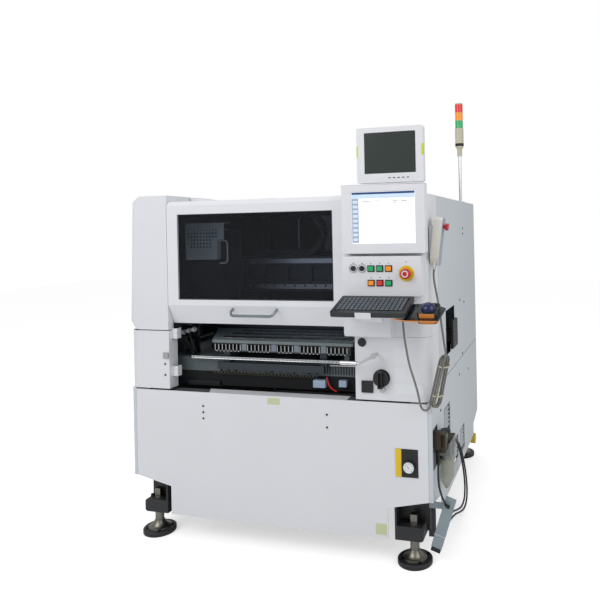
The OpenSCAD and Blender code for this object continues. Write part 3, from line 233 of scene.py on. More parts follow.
def sheet_glass(name, tint, share):
    """Polished clear sheet, cast and tinted: a share of it reflects, the rest lets light through."""
    material, tree, shader, place = start(name, tint, 0.03, **{"IOR": 1.49, "Specular IOR Level": 0.5})
    clear = add(tree, "ShaderNodeBsdfTransparent", {"Color": tint})
    haze = add(tree, "ShaderNodeTexNoise", {"Scale": 12.0, "Detail": 4.0}, {"Vector": (place, "Object")})
    amount = add(tree, "ShaderNodeMapRange", {"To Min": share * 0.9, "To Max": share * 1.1}, {
        "Value": (haze, "Fac")})
    both = add(tree, "ShaderNodeMixShader", {}, {
        "Fac": (amount, "Result"), 1: (clear, "BSDF"), 2: (shader, "BSDF")})
    output = next(n for n in tree.nodes if n.type == "OUTPUT_MATERIAL")
    tree.links.new(both.outputs["Shader"], output.inputs["Surface"])
    return material


# Finishes by the surface they are: each has its material's name, its sRGB colour and its own values
FINISHES = {
    powder_coat: {
        "frame": ("painted_steel_frame", "55585B", 0.5),
    },
    enamel: {
        "casting": ("black_painted_casting", "26272B", 0.42),
        "hard_coat": ("hard_anodised_plate", "6F7A7C", 0.45),
        "beam": ("dark_painted_beam", "2A3036", 0.42),
        "head": ("dark_painted_head", "23282D", 0.45),
        "guard": ("pale_enamelled_guard", "DDE4E0", 0.4),
    },
    bare_metal: {
        "turned": ("turned_steel", "8B8880", 0.34, (1, 1, 6)),
        "ground": ("ground_steel", "C5C7CA", 0.25, (8, 1, 1)),
        "aluminium": ("anodised_aluminium", "C3C6C9", 0.38, (1, 4, 4)),
        "chrome": ("polished_chrome", "DADCDE", 0.12, (1, 1, 1), 0.02, 0.00001),
        "dark_metal": ("blackened_steel", "3A3C3F", 0.4),
        "handle": ("satin_grey_handle", "9BA3AB", 0.28, (8, 1, 1)),
        "rail_dark": ("black_anodised_aluminium", "4A5056", 0.4, (1, 6, 6)),
        "comb_blue": ("blued_steel", "8C94A0", 0.35),
        "bronze": ("bronze_painted_head", "4C453B", 0.4),
        "air_grey": ("die_cast_grey", "8D8F8E", 0.4),
    },
    moulded: {
        "black": ("black_moulded_nylon", "1A1B1D", 0.48),
        "dark_keys": ("black_keycap_plastic", "25272B", 0.42),
        "beige": ("beige_abs", "DCDAD0", 0.46),
        "grey_box": ("grey_abs", "8A979E", 0.42),
        "yellow": ("yellow_moulded_plastic", "E8C21E", 0.4),
        "red": ("red_moulded_plastic", "C81F2A", 0.3),
        "cable": ("grey_pvc_sheath", "77756F", 0.5),
        "lead": ("black_pvc_sheath", "161618", 0.45),
        "bezel": ("grey_white_bezel", "E6E7EC", 0.4),
        # black felt behind the vents, also given to the dark sheets that paint the shade inside the covers
        "filter": ("black_filter_felt", "101214", 0.9, 0.003),      # loose fibres, drawn 3 mm coarse
        "vent_grey": ("grey_moulded_plastic", "5A5E62", 0.5),
        "plate_pale": ("pale_printed_plate", "E4E8EC", 0.35),
        "plate_cream": ("cream_rating_plate", "C9CFA8", 0.4),
        "comb_black": ("black_engraved_nylon", "141619", 0.4),
        "pin_white": ("white_acetal", "C2C8C8", 0.35),
        "wire_dark": ("dark_brown_wire", "5A5548", 0.4),
        "module_blue": ("pale_blue_module", "9FB2C8", 0.4),
        "dark_display": ("dark_glass_display", "323A38", 0.12, 0.004),
        # key tops: the keys' dark plastic painted lighter where light falls on the upward faces
        "lit_key_tops": ("grey_keycap_tops", "535C66", 0.4),
        "gloss_black": ("gloss_black_acrylic", "0E1A1E", 0.08, 0.01),
        "orange": ("orange_moulded_edge", "E08A3A", 0.4),
        "pendant_blue": ("blue_grey_abs", "9BA6B8", 0.4),
        "tower_beige": ("beige_tower_body", "C4BFA8", 0.42),
        "pad_green": ("yellow_green_pad", "C6DC1E", 0.5),
        "tie": ("cream_nylon_tie", "CFC9AE", 0.45),
    },
    glow_cap: {
        "green_cap": ("green_lamp_cap", "1FA05F", 0.25),
        "amber_cap": ("amber_lamp_cap", "E88B1C", 0.3),
        "red_cap": ("red_lamp_cap", "D22A22", 0.3),
        "display": ("white_display", "F4F6FA", 0.55),
        "screen_navy": ("display_navy", "1B3E70", 0.3),
        "screen_sky": ("display_sky", "BFD3E8", 0.4),
        "screen_grey": ("display_grey", "9AA4B4", 0.3),
    },
    sheet_glass: {
        "window": ("tinted_acrylic", "E2E6ED", 0.012),
        "clear": ("clear_polycarbonate", "D5D6CC", 0.4),
    },
}
MATERIALS = {}


def make_materials():
    """Every finish on the machine, by the name the pieces ask for."""
    colours, sizes = bpy.context.scene.placer_colours, bpy.context.scene.placer_sizes
    MATERIALS.update({
        "cover": powder_coat("powder_coat_white", tuple(colours.cover)),
        "side": powder_coat("powder_coat_grey", tuple(colours.side)),
        "lid": powder_coat("powder_coat_lid", tuple(colours.lid), 0.36),
        "bed": enamel("grey_machine_enamel", tuple(colours.bed)),
        "ball": moulded("polished_resin_ball", linear("1A2350"), sizes.ball_gloss),
    })
    for surface, finishes in FINISHES.items():
        for finish, (name, code, *values) in finishes.items():
            MATERIALS[finish] = surface(name, linear(code), *values)


# ---------- mesh helpers ----------

def placed(name, data):
    """A new object in the scene."""
    thing = bpy.data.objects.new(name, data)
    bpy.context.scene.collection.objects.link(thing)
    return thing


def settle(name, data, body, slot=None):
    """A piece made of finished data, riding on a body. The finish slot it stands for is not used."""
    piece = placed(name, data)
    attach(piece, body)
    return piece


def piece_from(name, mesh, finish, body, smooth=30.0, slot=None):
    """A finished piece from a bmesh already in the frame: material, shading and body."""
    data = bpy.data.meshes.new(name)
    mesh.to_mesh(data)
    mesh.free()
    data.materials.append(MATERIALS[finish])
    for face in data.polygons:
        face.use_smooth = True
    data.set_sharp_from_angle(angle=math.radians(smooth))
    return settle(name, data, body, slot)


def soften(piece, width):
    """Rounds a piece's sharp edges by a real width in metres."""
    bevel = piece.modifiers.new("edges", "BEVEL")
    bevel.width = width
    bevel.segments = 2
    bevel.limit_method = "ANGLE"
    bevel.angle_limit = math.radians(40)
    bevel.use_clamp_overlap = True
    bevel.harden_normals = True
    return piece


def islands(mesh):
    """The solids of a bmesh, each as a list of its faces."""
    seen = set()
    for first in mesh.faces:
        if first in seen:
            continue
        island, stack = [], [first]
        seen.add(first)
        while stack:
            face = stack.pop()
            island.append(face)
            for other in (near for edge in face.edges for near in edge.link_faces):
                if other not in seen:
                    seen.add(other)
                    stack.append(other)
        yield island


def dress_solids(node, pick, width=0.0):
    """Stands in for a CAD node with a merged copy in several finishes. pick gives each face's finish
    from its solid's middle, its own middle, both in machine millimetres, and the face."""
    mesh = bmesh.new()
    mesh.from_mesh(frame["nodes"][node].data)
    bmesh.ops.remove_doubles(mesh, verts=mesh.verts, dist=2e-5)
    bmesh.ops.dissolve_limit(mesh, angle_limit=math.radians(0.5), verts=mesh.verts, edges=mesh.edges,
                             use_dissolve_boundaries=False)
    names = []
    for island in islands(mesh):
        corners = [v.co for face in island for v in face.verts]
        low, high = (Vector(end(c[i] for c in corners) for i in range(3)) for end in (min, max))
        middle = machine((low + high) / 2)
        for face in island:
            finish = pick(middle, machine(face.calc_center_median()), face)
            if finish not in names:
                names.append(finish)
            face.material_index = names.index(finish)
    piece = piece_from(node + "_finished", mesh, names[0], BODY_OF[node], slot=SLOT_OF[node])
    for finish in names[1:]:
        piece.data.materials.append(MATERIALS[finish])
    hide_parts(node)
    return soften(piece, width) if width else piece


def dress(node, finish, width=0.0):
    """Stands a copy with rounded edges in for a CAD node, or with no width gives the node its finish."""
    if width:
        return dress_solids(node, lambda mid, spot, face: finish, width)
    source = frame["nodes"][node]
    source.data.materials.clear()
    source.data.materials.append(MATERIALS[finish])
    return source


def add_box(mesh, low, high):
    """A box between two corners, added to a bmesh."""
    made = bmesh.ops.create_cube(mesh, size=1.0)["verts"]
    low, high = Vector(low), Vector(high)
    for vertex in made:
        vertex.co = Vector(low[i] + (vertex.co[i] + 0.5) * (high[i] - low[i]) for i in range(3))
    return made


def join_rings(mesh, rings):
    """Faces between rings of points that follow each other; a ring may be a single point."""
    for lower, upper in zip(rings, rings[1:]):
        steps = max(len(lower), len(upper))
        for k in range(steps):
            j = (k + 1) % steps
            if len(lower) == 1:
                mesh.faces.new((lower[0], upper[j], upper[k]))
            elif len(upper) == 1:
                mesh.faces.new((lower[k], lower[j], upper[0]))
            else:
                mesh.faces.new((lower[k], lower[j], upper[j], upper[k]))


def add_lathe(mesh, profile, centre, axis, steps=32):
    """A solid of revolution: (radius, height) pairs turned about an axis through a point."""
    turn = Vector((0, 0, 1)).rotation_difference(Vector(axis)).to_matrix()
    rings = []
    for radius, height in profile:
        angles = [2 * math.pi * k / steps for k in range(steps if radius > 1e-7 else 1)]
        rings.append([mesh.verts.new(centre + turn @ Vector((
            radius * math.cos(angle), radius * math.sin(angle), height))) for angle in angles])
    join_rings(mesh, rings)


def smooth_line(points, steps):
    """A smooth curve through given points, as the CAD sweeps it."""
    line = []
    for i in range(len(points) - 1):
        a, b, c, d = (Vector(points[max(0, min(len(points) - 1, i + k))]) for k in (-1, 0, 1, 2))
        for k in range(steps):
            t = k / steps
            line.append(0.5 * (2 * b + (c - a) * t + (2 * a - 5 * b + 4 * c - d) * t * t
                               + (3 * b - a - 3 * c + d) * t ** 3))
    return line + [Vector(points[-1])]


def slabs(name, finish, boxes, body="machine", width=0.0006):
    """One piece of several plates or bars, each given by its x, y and z limits in machine millimetres."""
    mesh = bmesh.new()
    for x, y, z in boxes:
        add_box(mesh, at(x[0], y[0], z[0]), at(x[1], y[1], z[1]))
    return soften(piece_from(name, mesh, finish, body), width)


def turned(name, finish, solids, body="machine", steps=32):
    """One piece of several turned solids: (place, axis, profile) in machine millimetres."""
    mesh = bmesh.new()
    for place, axis, profile in solids:
        add_lathe(mesh, [(r * MM, h * MM) for r, h in profile], at(*place), axis, steps)
    return piece_from(name, mesh, finish, body)


def row_tool():
    """Geometry nodes that set a block on every point of a straight row."""
    group = bpy.data.node_groups.new("block_row", "GeometryNodeTree")
    face = group.interface
    for kind, label in (("Int", "Count"), ("Vector", "Step"), ("Vector", "First"), ("Vector", "Size"),
                        ("Material", "Finish")):
        face.new_socket(name=label, in_out="INPUT", socket_type="NodeSocket" + kind)
    face.new_socket(name="Geometry", in_out="OUTPUT", socket_type="NodeSocketGeometry")
    entry = add(group, "NodeGroupInput")
    line = add(group, "GeometryNodeMeshLine", {}, {
        "Count": (entry, "Count"), "Offset": (entry, "Step"), "Start Location": (entry, "First")})
    block = add(group, "GeometryNodeMeshCube", {}, {"Size": (entry, "Size")})
    copies = add(group, "GeometryNodeInstanceOnPoints", {}, {
        "Points": (line, "Mesh"), "Instance": (block, "Mesh")})
    real = add(group, "GeometryNodeRealizeInstances", {}, {"Geometry": (copies, "Instances")})
    painted = add(group, "GeometryNodeSetMaterial", {}, {
        "Geometry": (real, "Geometry"), "Material": (entry, "Finish")})
    add(group, "NodeGroupOutput", {}, {"Geometry": (painted, "Geometry")})
    return group


def plain_piece(name, holder, body):
    """A plain mesh piece from what a holder's modifiers or curve give; the holder goes."""
    mesh = bpy.data.meshes.new_from_object(holder.evaluated_get(bpy.context.evaluated_depsgraph_get()))
    mesh.name = name
    bpy.data.objects.remove(holder)
    return settle(name, mesh, body)


def row(name, finish, count, step, first, size, body="machine"):
    """A row of small blocks in machine millimetres: their count, step, first middle and size."""
    group = bpy.data.node_groups.get("block_row") or row_tool()
    holder = placed(name + "_row", bpy.data.meshes.new(name + "_row"))
    nodes = holder.modifiers.new("row", "NODES")
    nodes.node_group = group
    values = {"Count": count, "Step": [v * MM for v in step], "First": list(at(*first)),
              "Size": [v * MM for v in size], "Finish": MATERIALS[finish]}
    for socket in group.interface.items_tree:
        if socket.in_out == "INPUT":
            nodes[socket.identifier] = values[socket.name]
    return plain_piece(name, holder, body)


def swept(name, finish, points, width, rounding):
    """One open curve through points of the frame, swept round to a width in metres."""
    curve = bpy.data.curves.new(name, "CURVE")
    curve.dimensions = "3D"
    curve.bevel_depth = width / 2
    curve.bevel_resolution = rounding
    curve.use_fill_caps = True
    spline = curve.splines.new("POLY")
    spline.points.add(len(points) - 1)
    for target, point in zip(spline.points, points):
        target.co = (*point, 1.0)
    spline.use_smooth = True
    curve.materials.append(MATERIALS[finish])
    return curve


def wire(name, finish, line, width, body="machine"):
    """A fixed wire or tube along a line in machine millimetres, as a plain mesh."""
    curve = swept(name, finish, [at(*p) for p in line], width * MM, 3)
    return plain_piece(name, placed(name + "_line", curve), body)


def cut_plate(name, finish, outline, depths, body="machine"):
    """A plate between two depths, from its outline of (x, z) points in machine millimetres."""
    mesh = bmesh.new()
    front, back = ([mesh.verts.new(at(x, y, z)) for x, z in outline] for y in depths)
    mesh.faces.new(front)
    mesh.faces.new(list(reversed(back)))
    for k in range(len(outline)):
        j = (k + 1) % len(outline)
        mesh.faces.new((front[j], front[k], back[k], back[j]))
    bmesh.ops.recalc_face_normals(mesh, faces=mesh.faces)
    return piece_from(name, mesh, finish, body)


def screw_head(d):
    """Profile of a pan-head screw with a sunk drive."""
    h = 2.4
    return [(0, 0), (d / 2, 0), (d / 2, h * 0.4), (d * 0.38, h), (d * 0.2, h), (d * 0.16, h * 0.45),
            (0, h * 0.45)]


def rim(across, upright, wide):
    """Four strips round an opening, from its limits in two directions: top, bottom and sides."""
    (a, b), (low, high) = across, upright
    outer = (a - wide, b + wide)
    return ((outer, (high, high + wide)), (outer, (low - wide, low)), ((a - wide, a), (low, high)),
            ((b, b + wide), (low, high)))


# ---------- covers ----------

SIDE_X = 665                # outer faces of the side covers, left and right
PLATE = (-0.6, 0)           # depth of a plate stuck on the front
WINDOW = ((-425, 274), (1027, 1383))        # x and z limits
# y and z limits of the vents, and (y, z) or (x, z) of the screws
VENTS = (((250, 377), (428, 540)), ((640, 759), (214, 327)), ((448, 572), (236, 327)))
SIDE_SCREWS = ((829, 1303), (827, 1276), (702, 951), (828, 927), (648, 597), (750, 680), (936, 562),
               (175, 562))
FRONT_SCREWS = ((-320, 523), (-320, 549), (-320, 575), (238, 520), (238, 571), (-501, 746), (-501, 699))


class PLACER_OT_covers(bpy.types.Operator):
    """Powder-coated sheet covers with rolled edges"""
    bl_idname = "placer.covers"
    bl_label = "Covers"

    def execute(self, context):
        edge = context.scene.placer_sizes.edge
        for node in ("front_panel", "top_cover", "left_column", "left_box", "right_column", "right_box"):
            dress(node, "cover", edge)
        for node in ("side_panel_left", "side_panel_right", "rear_cover", "upper_side_left",
                     "upper_side_right"):
            dress(node, "side", edge * 0.8)
        dress("safety_cover", "lid", edge)
        dress("cover_window", "window")
        dress("cover_handle", "handle")
        self.vents()
        self.screws(context.scene.placer_sizes.screw / MM)
        self.plates()
        slabs("window_seal", "lead", [(x, (-0.5, 0), z) for x, z in rim(*WINDOW, 3)], "safety_cover",
              0.0002)
        return {"FINISHED"}

    def vents(self):
        """Black felt behind each vent and a moulded frame round it."""
        boxes, frames = [], []
        for side in (-1, 1):
            for (y0, y1), z in VENTS:
                boxes.append((sorted((side * 645, side * 646.5)), (y0 - 3, y1 + 3), (z[0] - 3, z[1] + 3)))
                frames += [(sorted((side * SIDE_X, side * (SIDE_X + 0.8))), *strip)
                           for strip in rim((y0, y1), z, 3)]
        slabs("vent_filters", "filter", boxes)
        slabs("vent_frames", "vent_grey", frames, width=0.0002)

    def screws(self, d):
        """Cover screws on both sides, and smaller ones on the front."""
        heads = [((side * SIDE_X, y, z), (side, 0, 0), screw_head(d))
                 for side in (-1, 1) for y, z in SIDE_SCREWS]
        heads += [((x, 0, z), (0, -1, 0), screw_head(d * 0.8)) for x, z in FRONT_SCREWS]
        turned("cover_screws", "dark_metal", heads, steps=16)

    def plates(self):
        """Plain plates where the machine carries its labels."""
        slabs("plain_plates", "plate_pale", (
            ((521, 576), PLATE, (788, 846)), ((522, 567), PLATE, (719, 767)),
            ((521, 636), PLATE, (668, 708))), width=0.0002)
        slabs("rating_plates", "plate_cream", (
            ((-21, 33), PLATE, (599, 625)), ((433, 478), PLATE, (116, 159))), width=0.0002)


FOOT_X, FOOT_Y = 578, (46, 1208)        # middles of the levelling feet
FOOT_BOLTS = {"top": 19.5, "out": 52, "angles": (0.6, 2.17, 3.74, 5.31),
              "head": [(0, 0), (7, 0), (7, 5), (0, 5.6)]}
BRACKET_BOLTS = {"top": 151.5, "in": (21, -34), "head": [(0, 0), (9, 0), (9, 7), (0, 8)]}
# Dark sheets behind the rear cover, the side vents, the feeder bay, the left opening and the rear louvres:
# painted shade of the closed inside, with its dark paint
BASE_SHADE_SHEETS = (
    ((-600, 600), (1196, 1198), (270, 695)), ((-588, -586), (90, 1190), (330, 615)),
    ((586, 588), (90, 1190), (330, 615)), ((-585, 585), (640, 642), (270, 272)),
    ((-661, -660), (380, 640), (750, 848)), ((-620, 620), (1209, 1211), (702, 1005)))


class PLACER_OT_underframe(bpy.types.Operator):
    """Welded base frame, cast corner brackets and turned levelling feet"""
    bl_idname = "placer.underframe"
    bl_label = "Underframe"

    def execute(self, context):
        dress("base_frame", "frame", 0.003)
        dress("foot_brackets", "casting", 0.003)
        dress_solids("levelling_feet", lambda mid, spot, face: "casting" if spot.z < 21 else "turned",
                     0.0008)
        self.bolts()
        # dark sheets inside the base: painted shade of the closed inside, with its dark paint
        slabs("base_shade_sheets", "filter", BASE_SHADE_SHEETS)
        return {"FINISHED"}

    def bolts(self):
        """Four bolts in each foot's pad, and two under each bracket."""
        bolts, up = [], (0, 0, 1)
        foot, bracket = FOOT_BOLTS, BRACKET_BOLTS
        for side in (-1, 1):
            x = side * FOOT_X
            for y in FOOT_Y:
                bolts += [((x + foot["out"] * math.cos(a), y + foot["out"] * math.sin(a), foot["top"]), up,
                           foot["head"]) for a in foot["angles"]]
                bolts += [((x - side * inward, y, bracket["top"]), up, bracket["head"])
                          for inward in bracket["in"]]
        turned("foot_bolts", "dark_metal", bolts, steps=6)


# ---------- bed and feeder bank ----------

SLOT_FIRST, SLOT_PITCH = -275, 17       # x of the first feeder slot, and the step between slots
COMB_GROUPS = ((0, 6), (9, 14), (17, 20), (23, 27), (30, 34))      # first and last slot of each group
PICKUP_ROWS = (110, 190, 270)           # y of the rows of pickup holes in the feeder plate


class PLACER_OT_bed(bpy.types.Operator):
    """Machine bed, guides, conveyor rails and feeder bank"""
    bl_idname = "placer.bed"
    bl_label = "Bed and feeder bank"

    def execute(self, context):
        dress("machine_bed", "bed", 0.002)
        dress("y_guides", "ground")
        for node in ("conveyor_rail_front", "conveyor_rail_rear"):
            dress(node, "rail_dark", 0.0008)
        dress("feeder_plate", "hard_coat")
        dress_solids("feeder_comb", self.comb_finish)
        self.bank()
        self.fittings()
        return {"FINISHED"}

    def comb_finish(self, mid, spot, face):
        if mid.y < 56:
            return "comb_black"
        return "ground" if 760 < spot.z < 780 and spot.y < 63 else "rail_dark"

    def bank(self):
        """White slot pins, bridges, pickup rows and toothed bars of the feeder bank."""
        slot = [SLOT_FIRST + SLOT_PITCH * n for n in range(COMB_GROUPS[-1][1] + 2)]
        step = (SLOT_PITCH, 0, 0)
        for number, (first, last) in enumerate(COMB_GROUPS, 1):
            row("slot_pins_%d" % number, "pin_white", last - first + 2, step,
                (slot[first] - 4, 35.4, 820), (2.2, 1.2, 25))
            row("slot_tips_%d" % number, "pin_white", last - first + 1, step,
                (slot[first] + 4, 35.3, 803.5), (6, 1.2, 2.5))
        slabs("comb_bridges", "comb_blue", [
            ((slot[a[1] + 1] + 3, slot[b[0]] - 9), (34.6, 36), (808, 836))
            for a, b in zip(COMB_GROUPS, COMB_GROUPS[1:])])
        slabs("pickup_strips", "ground", [
            ((-283, 332), (y - 22, y + 22), (850, 850.6)) for y in PICKUP_ROWS], width=0.0002)
        # thin black blocks stand for the pickup holes: painted shade inside the holes
        for number, y in enumerate(PICKUP_ROWS, 1):
            row("pickup_row_%d" % number, "comb_black", 50, (12, 0, 0), (-278, y, 850.9), (6, 18, 0.6))
        row("bar_teeth", "pin_white", 88, (8, 0, 0), (-408, 61.6, 771), (4.5, 1.2, 5))
        row("conveyor_pins", "dark_metal", 26, (20, 0, 0), (-240, 344.4, 893), (11, 1.6, 6))
        row("right_fins", "comb_black", 12, (12, 0, 0), (194, 104, 726), (4, 22, 34))
        slabs("right_fin_rail", "ground", (((188, 330), (92, 114), (744, 748)),))
        points, turn = 480, math.pi / 8     # sixteen points to each turn of the wound wires
        wire("bank_wires", "wire_dark", [
            (-309 + 473 * t / points, 74 + 7 * math.cos(t * turn), 704 + 8 * math.sin(t * turn))
            for t in range(points + 1)], 2.2)

    def fittings(self):
        """Push-in air fittings with their tubes, and what hangs in the bay behind the opening."""
        cap = [(0, -2), (10, -2), (11, 0), (11, 14), (8, 16), (8, 30), (5, 32), (0, 32)]
        turned("air_fittings", "pin_white", [
            ((x, 150, z), (0.25, -1, 0.1), cap) for x, z in ((-505, 858), (-478, 866), (-452, 872))])
        slabs("fitting_block", "comb_black", (((-520, -430), (150, 190), (838, 890)),), width=0.004)
        for number, (x, z, drop) in enumerate(((-505, 852, 60), (-478, 860, 80), (-452, 866, 95)), 1):
            wire("air_tube_%d" % number, "lead", smooth_line((
                (x, 118, z), (x + 6, 104, z - 18), (x + 16, 110, z - drop / 2), (x + 22, 128, z - drop),
                (x + 20, 150, z - drop - 40)), 6), 6)
        slabs("bay_frames", "comb_black", (
            ((-478, -446), (172, 178), (762, 902)), ((-645, -560), (336, 338), (762, 905)),
            ((-456, -438), (120, 138), (762, 834)), ((-448, -292), (84, 94), (640, 660))), width=0.002)
        # a dark sheet at the back of the bay: painted shade behind the opening
        slabs("bay_shade_sheet", "filter", (((-570, 330), (97, 99), (640, 699)),))
        wire("bay_red_wire", "red", smooth_line(
            ((205, 88, 698), (214, 82, 680), (222, 78, 664), (236, 80, 650), (250, 84, 641)), 6), 7)
        slabs("bay_module", "module_blue", (
            ((150, 205), (70, 96), (656, 688)), ((262, 296), (74, 96), (662, 690))), width=0.003)


# Dark sheets inside the upper covers, at the back, the sides and under the top: painted shade of the
# closed cabin, with its dark paint
CABIN_SHADE_SHEETS = (
    ((-600, 600), (1195, 1197), (985, 1395)), ((-652, -650), (180, 1235), (985, 1395)),
    ((650, 652), (180, 1235), (985, 1395)), ((-640, 640), (145, 1240), (1434, 1436)))
REAR_COVER = (      # x and z of its outline
    (-322, 1395), (-300, 1386), (-278, 1370), (-256, 1345), (-240, 1312), (-226, 1280), (-216, 1250),
    (-206, 1215), (-199, 1187), (120, 1187), (120, 1395))


class PLACER_OT_gantry(bpy.types.Operator):
    """Beam, energy chain, placement head, guard and spindles, and dark sheets that paint the shade round
    them
    """
    bl_idname = "placer.gantry"
    bl_label = "Gantry"

    def execute(self, context):
        # the beam's two rails are its long ground faces at the front
        dress_solids("gantry_beam", lambda mid, spot, face: "ground" if spot.y < 553 and abs(spot.x) < 640
                     and face.calc_area() > 0.01 else "beam", 0.001)
        dress("energy_chain", "black")
        dress("placement_head", "head", 0.002)
        dress("head_guard", "guard")
        dress("spindles", "chrome")
        slabs("beam_post", "chrome", (((-180, -174), (684, 690), (1178, 1376)),), "gantry", 0.001)
        row("beam_screws", "dark_metal", 22, (55, 0, 0), (-580, 545.6, 1033), (9, 1, 9), "gantry")
        # dark sheets inside the cabin: painted shade of the closed cabin, with its dark paint
        slabs("cabin_shade_sheets", "filter", CABIN_SHADE_SHEETS)
        cut_plate("rear_white_cover", "lid", REAR_COVER, (1105, 1108))
        return {"FINISHED"}


# ---------- operator side ----------

GAUGE_X, GAUGE_Z = 573, 390
TOWARDS_FRONT = (0, -1, 0)


class PLACER_OT_operator_side(bpy.types.Operator):
    """Monitor, operation panel and its controls"""
    bl_idname = "placer.operator_side"
    bl_label = "Operator side"

    def execute(self, context):
        dress("monitor_housing", "bezel", 0.002)
        dress("main_screen", "display")
        dress("operation_panel", "bezel", 0.0015)
        dress_solids("panel_fittings", self.fitting_finish, 0.0006)
        caps = ("green_cap", "green_cap", "amber_cap", "amber_cap", "red_cap", "green_cap")
        for number, cap in enumerate(caps, 1):
            dress("button_%d" % number, cap, 0.001)
        dress("stop_button", "red", 0.0015)
        dress("main_switch", "black", 0.0015)
        dress("lamp_switch", "black", 0.0008)
        dress("bank_lever", "chrome")
        self.display()
        self.marks()
        self.gauge()
        return {"FINISHED"}

    def fitting_finish(self, mid, spot, face):
        if mid.z > 1100 and mid.x > 550:
            return "yellow"
        if mid.x < -400 or (450 < mid.x < 490 and mid.z < 700):
            return "aluminium"
        if mid.x > 515 and mid.z < 500 and math.hypot(spot.x - GAUGE_X, spot.z - GAUGE_Z) >= 30:
            return "plate_pale"
        return "black"

    def display(self):
        """Generic window layout: title bar, tool column and list lines."""
        front = (-45.5, -45.0)
        slabs("display_title", "screen_navy", (((377, 626), front, (1441, 1449)),), width=0.0001)
        slabs("display_bar", "screen_sky", (((377, 626), front, (1425, 1441)),), width=0.0001)
        slabs("display_column", "screen_grey", (((377, 404), front, (1256, 1425)),), width=0.0001)
        row("display_icons", "screen_sky", 9, (0, 0, 18), (390.5, -45.7, 1268), (20, 0.4, 11))
        lines = (((418, 452), (1413, 1416)), ((470, 488), (1413, 1416)), ((540, 560), (1413, 1416)),
                 ((540, 556), (1406, 1408)), ((574, 596), (1410, 1414)))
        slabs("display_lines", "screen_grey", [(x, front, z) for x, z in lines], width=0.0001)

    def marks(self):
        """Small plain marks over the controls, and rings round the switches and the stop button."""
        spots = ((380, 1178), (415, 1178), (450, 1178), (486, 1178), (521, 1178), (451, 1123), (486, 1123),
                 (521, 1123), (590, 1182))
        slabs("panel_marks", "vent_grey", [
            ((x - 3, x + 3), (-50.3, -50), (z - 1.2, z + 1.2)) for x, z in spots], width=0.0001)
        ring = [(16, 0), (17, 0), (17, 0.5), (16, 0.5)]
        turned("stop_ring", "plate_pale", [
            ((590, -76.2, 1138), TOWARDS_FRONT, [(9, 0), (13, 0), (13, 0.4), (9, 0.4)])])
        turned("switch_bezels", "dark_metal", [((x, -50, 1158), TOWARDS_FRONT, ring) for x in (415, 380)])

    def gauge(self):
        """Pressure gauge's white dial with plain ticks and a needle, and the strip beside it."""
        turned("gauge_dial", "plate_pale", [
            ((GAUGE_X, -12, GAUGE_Z), TOWARDS_FRONT, [(0, 0.2), (21, 0.2), (21, 0.8), (0, 0.8)])])
        mesh = bmesh.new()
        for k in range(9):
            angle = math.radians(-135 + 270 * k / 8)
            out = Vector((math.sin(angle), 0, math.cos(angle)))
            near, far = (at(GAUGE_X + reach * out.x, -13.1, GAUGE_Z + reach * out.z)
                         for reach in (15.5 if k % 2 else 14.0, 19.0))
            side = Vector((out.z, 0, -out.x)) * 0.0006
            mesh.faces.new([mesh.verts.new(p) for p in (near - side, far - side, far + side, near + side)])
        tip = at(GAUGE_X - 10, -13.2, GAUGE_Z + 11)
        foot = at(GAUGE_X + 2, -13.2, GAUGE_Z - 3)
        side = Vector((0.7, 0, 0.7)) * 0.0009
        mesh.faces.new([mesh.verts.new(p) for p in (foot - side, tip, foot + side)])
        ticks = piece_from("gauge_ticks", mesh, "black", "machine")
        ticks.modifiers.new("thickness", "SOLIDIFY").thickness = 0.0003
        slabs("gauge_strip", "yellow", (((519, 543), (-3.6, -3), (350, 458)),), width=0.0002)
        # a flat black disc stands for the hole above the gauge: painted shade inside the hole
        turned("gauge_hole_shade", "black", [
            ((GAUGE_X, -3, 448), TOWARDS_FRONT, [(0, 0), (4, 0), (4, 0.5), (0, 0.5)])])


class PLACER_OT_tray(bpy.types.Operator):
    """Keyboard tray, keyboard and trackball"""
    bl_idname = "placer.tray"
    bl_label = "Keyboard tray"

    def execute(self, context):
        dress("tray_arm", "cover", 0.002)
        # the keys' upward faces are painted a lighter grey than their sides: painted light on the tops
        dress_solids("keyboard", lambda mid, spot, face: "lit_key_tops" if face.normal.z > 0.7
                     and face.calc_area() < 0.0012 else "dark_keys", 0.0006)
        dress_solids("mouse_tray", lambda mid, spot, face: "orange" if face.normal.y < -0.8
                     and spot.y < -150 else "gloss_black", 0.001)
        dress("trackball", "ball")
        return {"FINISHED"}


class PLACER_OT_upper_fittings(bpy.types.Operator):
    """Second screen, pendant with its holder and signal tower"""
    bl_idname = "placer.upper_fittings"
    bl_label = "Upper fittings"

    def execute(self, context):
        dress("lcd_monitor", "bezel", 0.003)
        self.lcd(BODY_OF["lcd_monitor"])
        dress_solids("pendant", lambda mid, spot, face: "pendant_blue" if face.normal.x > 0.6 else "beige",
                     0.002)
        dress("pendant_holder", "cover", 0.0008)
        dress("pendant_stop", "red", 0.001)
        dress_solids("tower_pole", lambda mid, spot, face: "chrome" if spot.z < 1700 else "tower_beige",
                     0.0006)
        dress_solids("tower_lenses", lambda mid, spot, face: "red_cap" if mid.z > 1933 else
                     "amber_cap" if mid.z > 1890 else "green_cap", 0.0006)
        turned("tower_band", "dark_metal", [
            ((625, 1040, 1750), (0, 0, 1), [(22, 0), (23.4, 0), (23.4, 15), (22, 15)])])
        return {"FINISHED"}

    def lcd(self, body):
        """The second screen's dark panel, its keys and the pads on its side edges."""
        slabs("lcd_frame", "black", (((424, 628), (-22.3, -22), (1521, 1678)),), body, 0.0001)
        slabs("lcd_panel", "dark_display", (((427, 625), (-22.9, -22.2), (1524, 1675)),), body, 0.0002)
        row("lcd_keys", "vent_grey", 5, (18, 0, 0), (524, -22.3, 1503), (9, 0.8, 4), body)
        slabs("lcd_pads", "pad_green", [(x, (-22.8, -6), (1585, 1630)) for x in ((651, 658), (392, 398))],
              body, 0.0015)


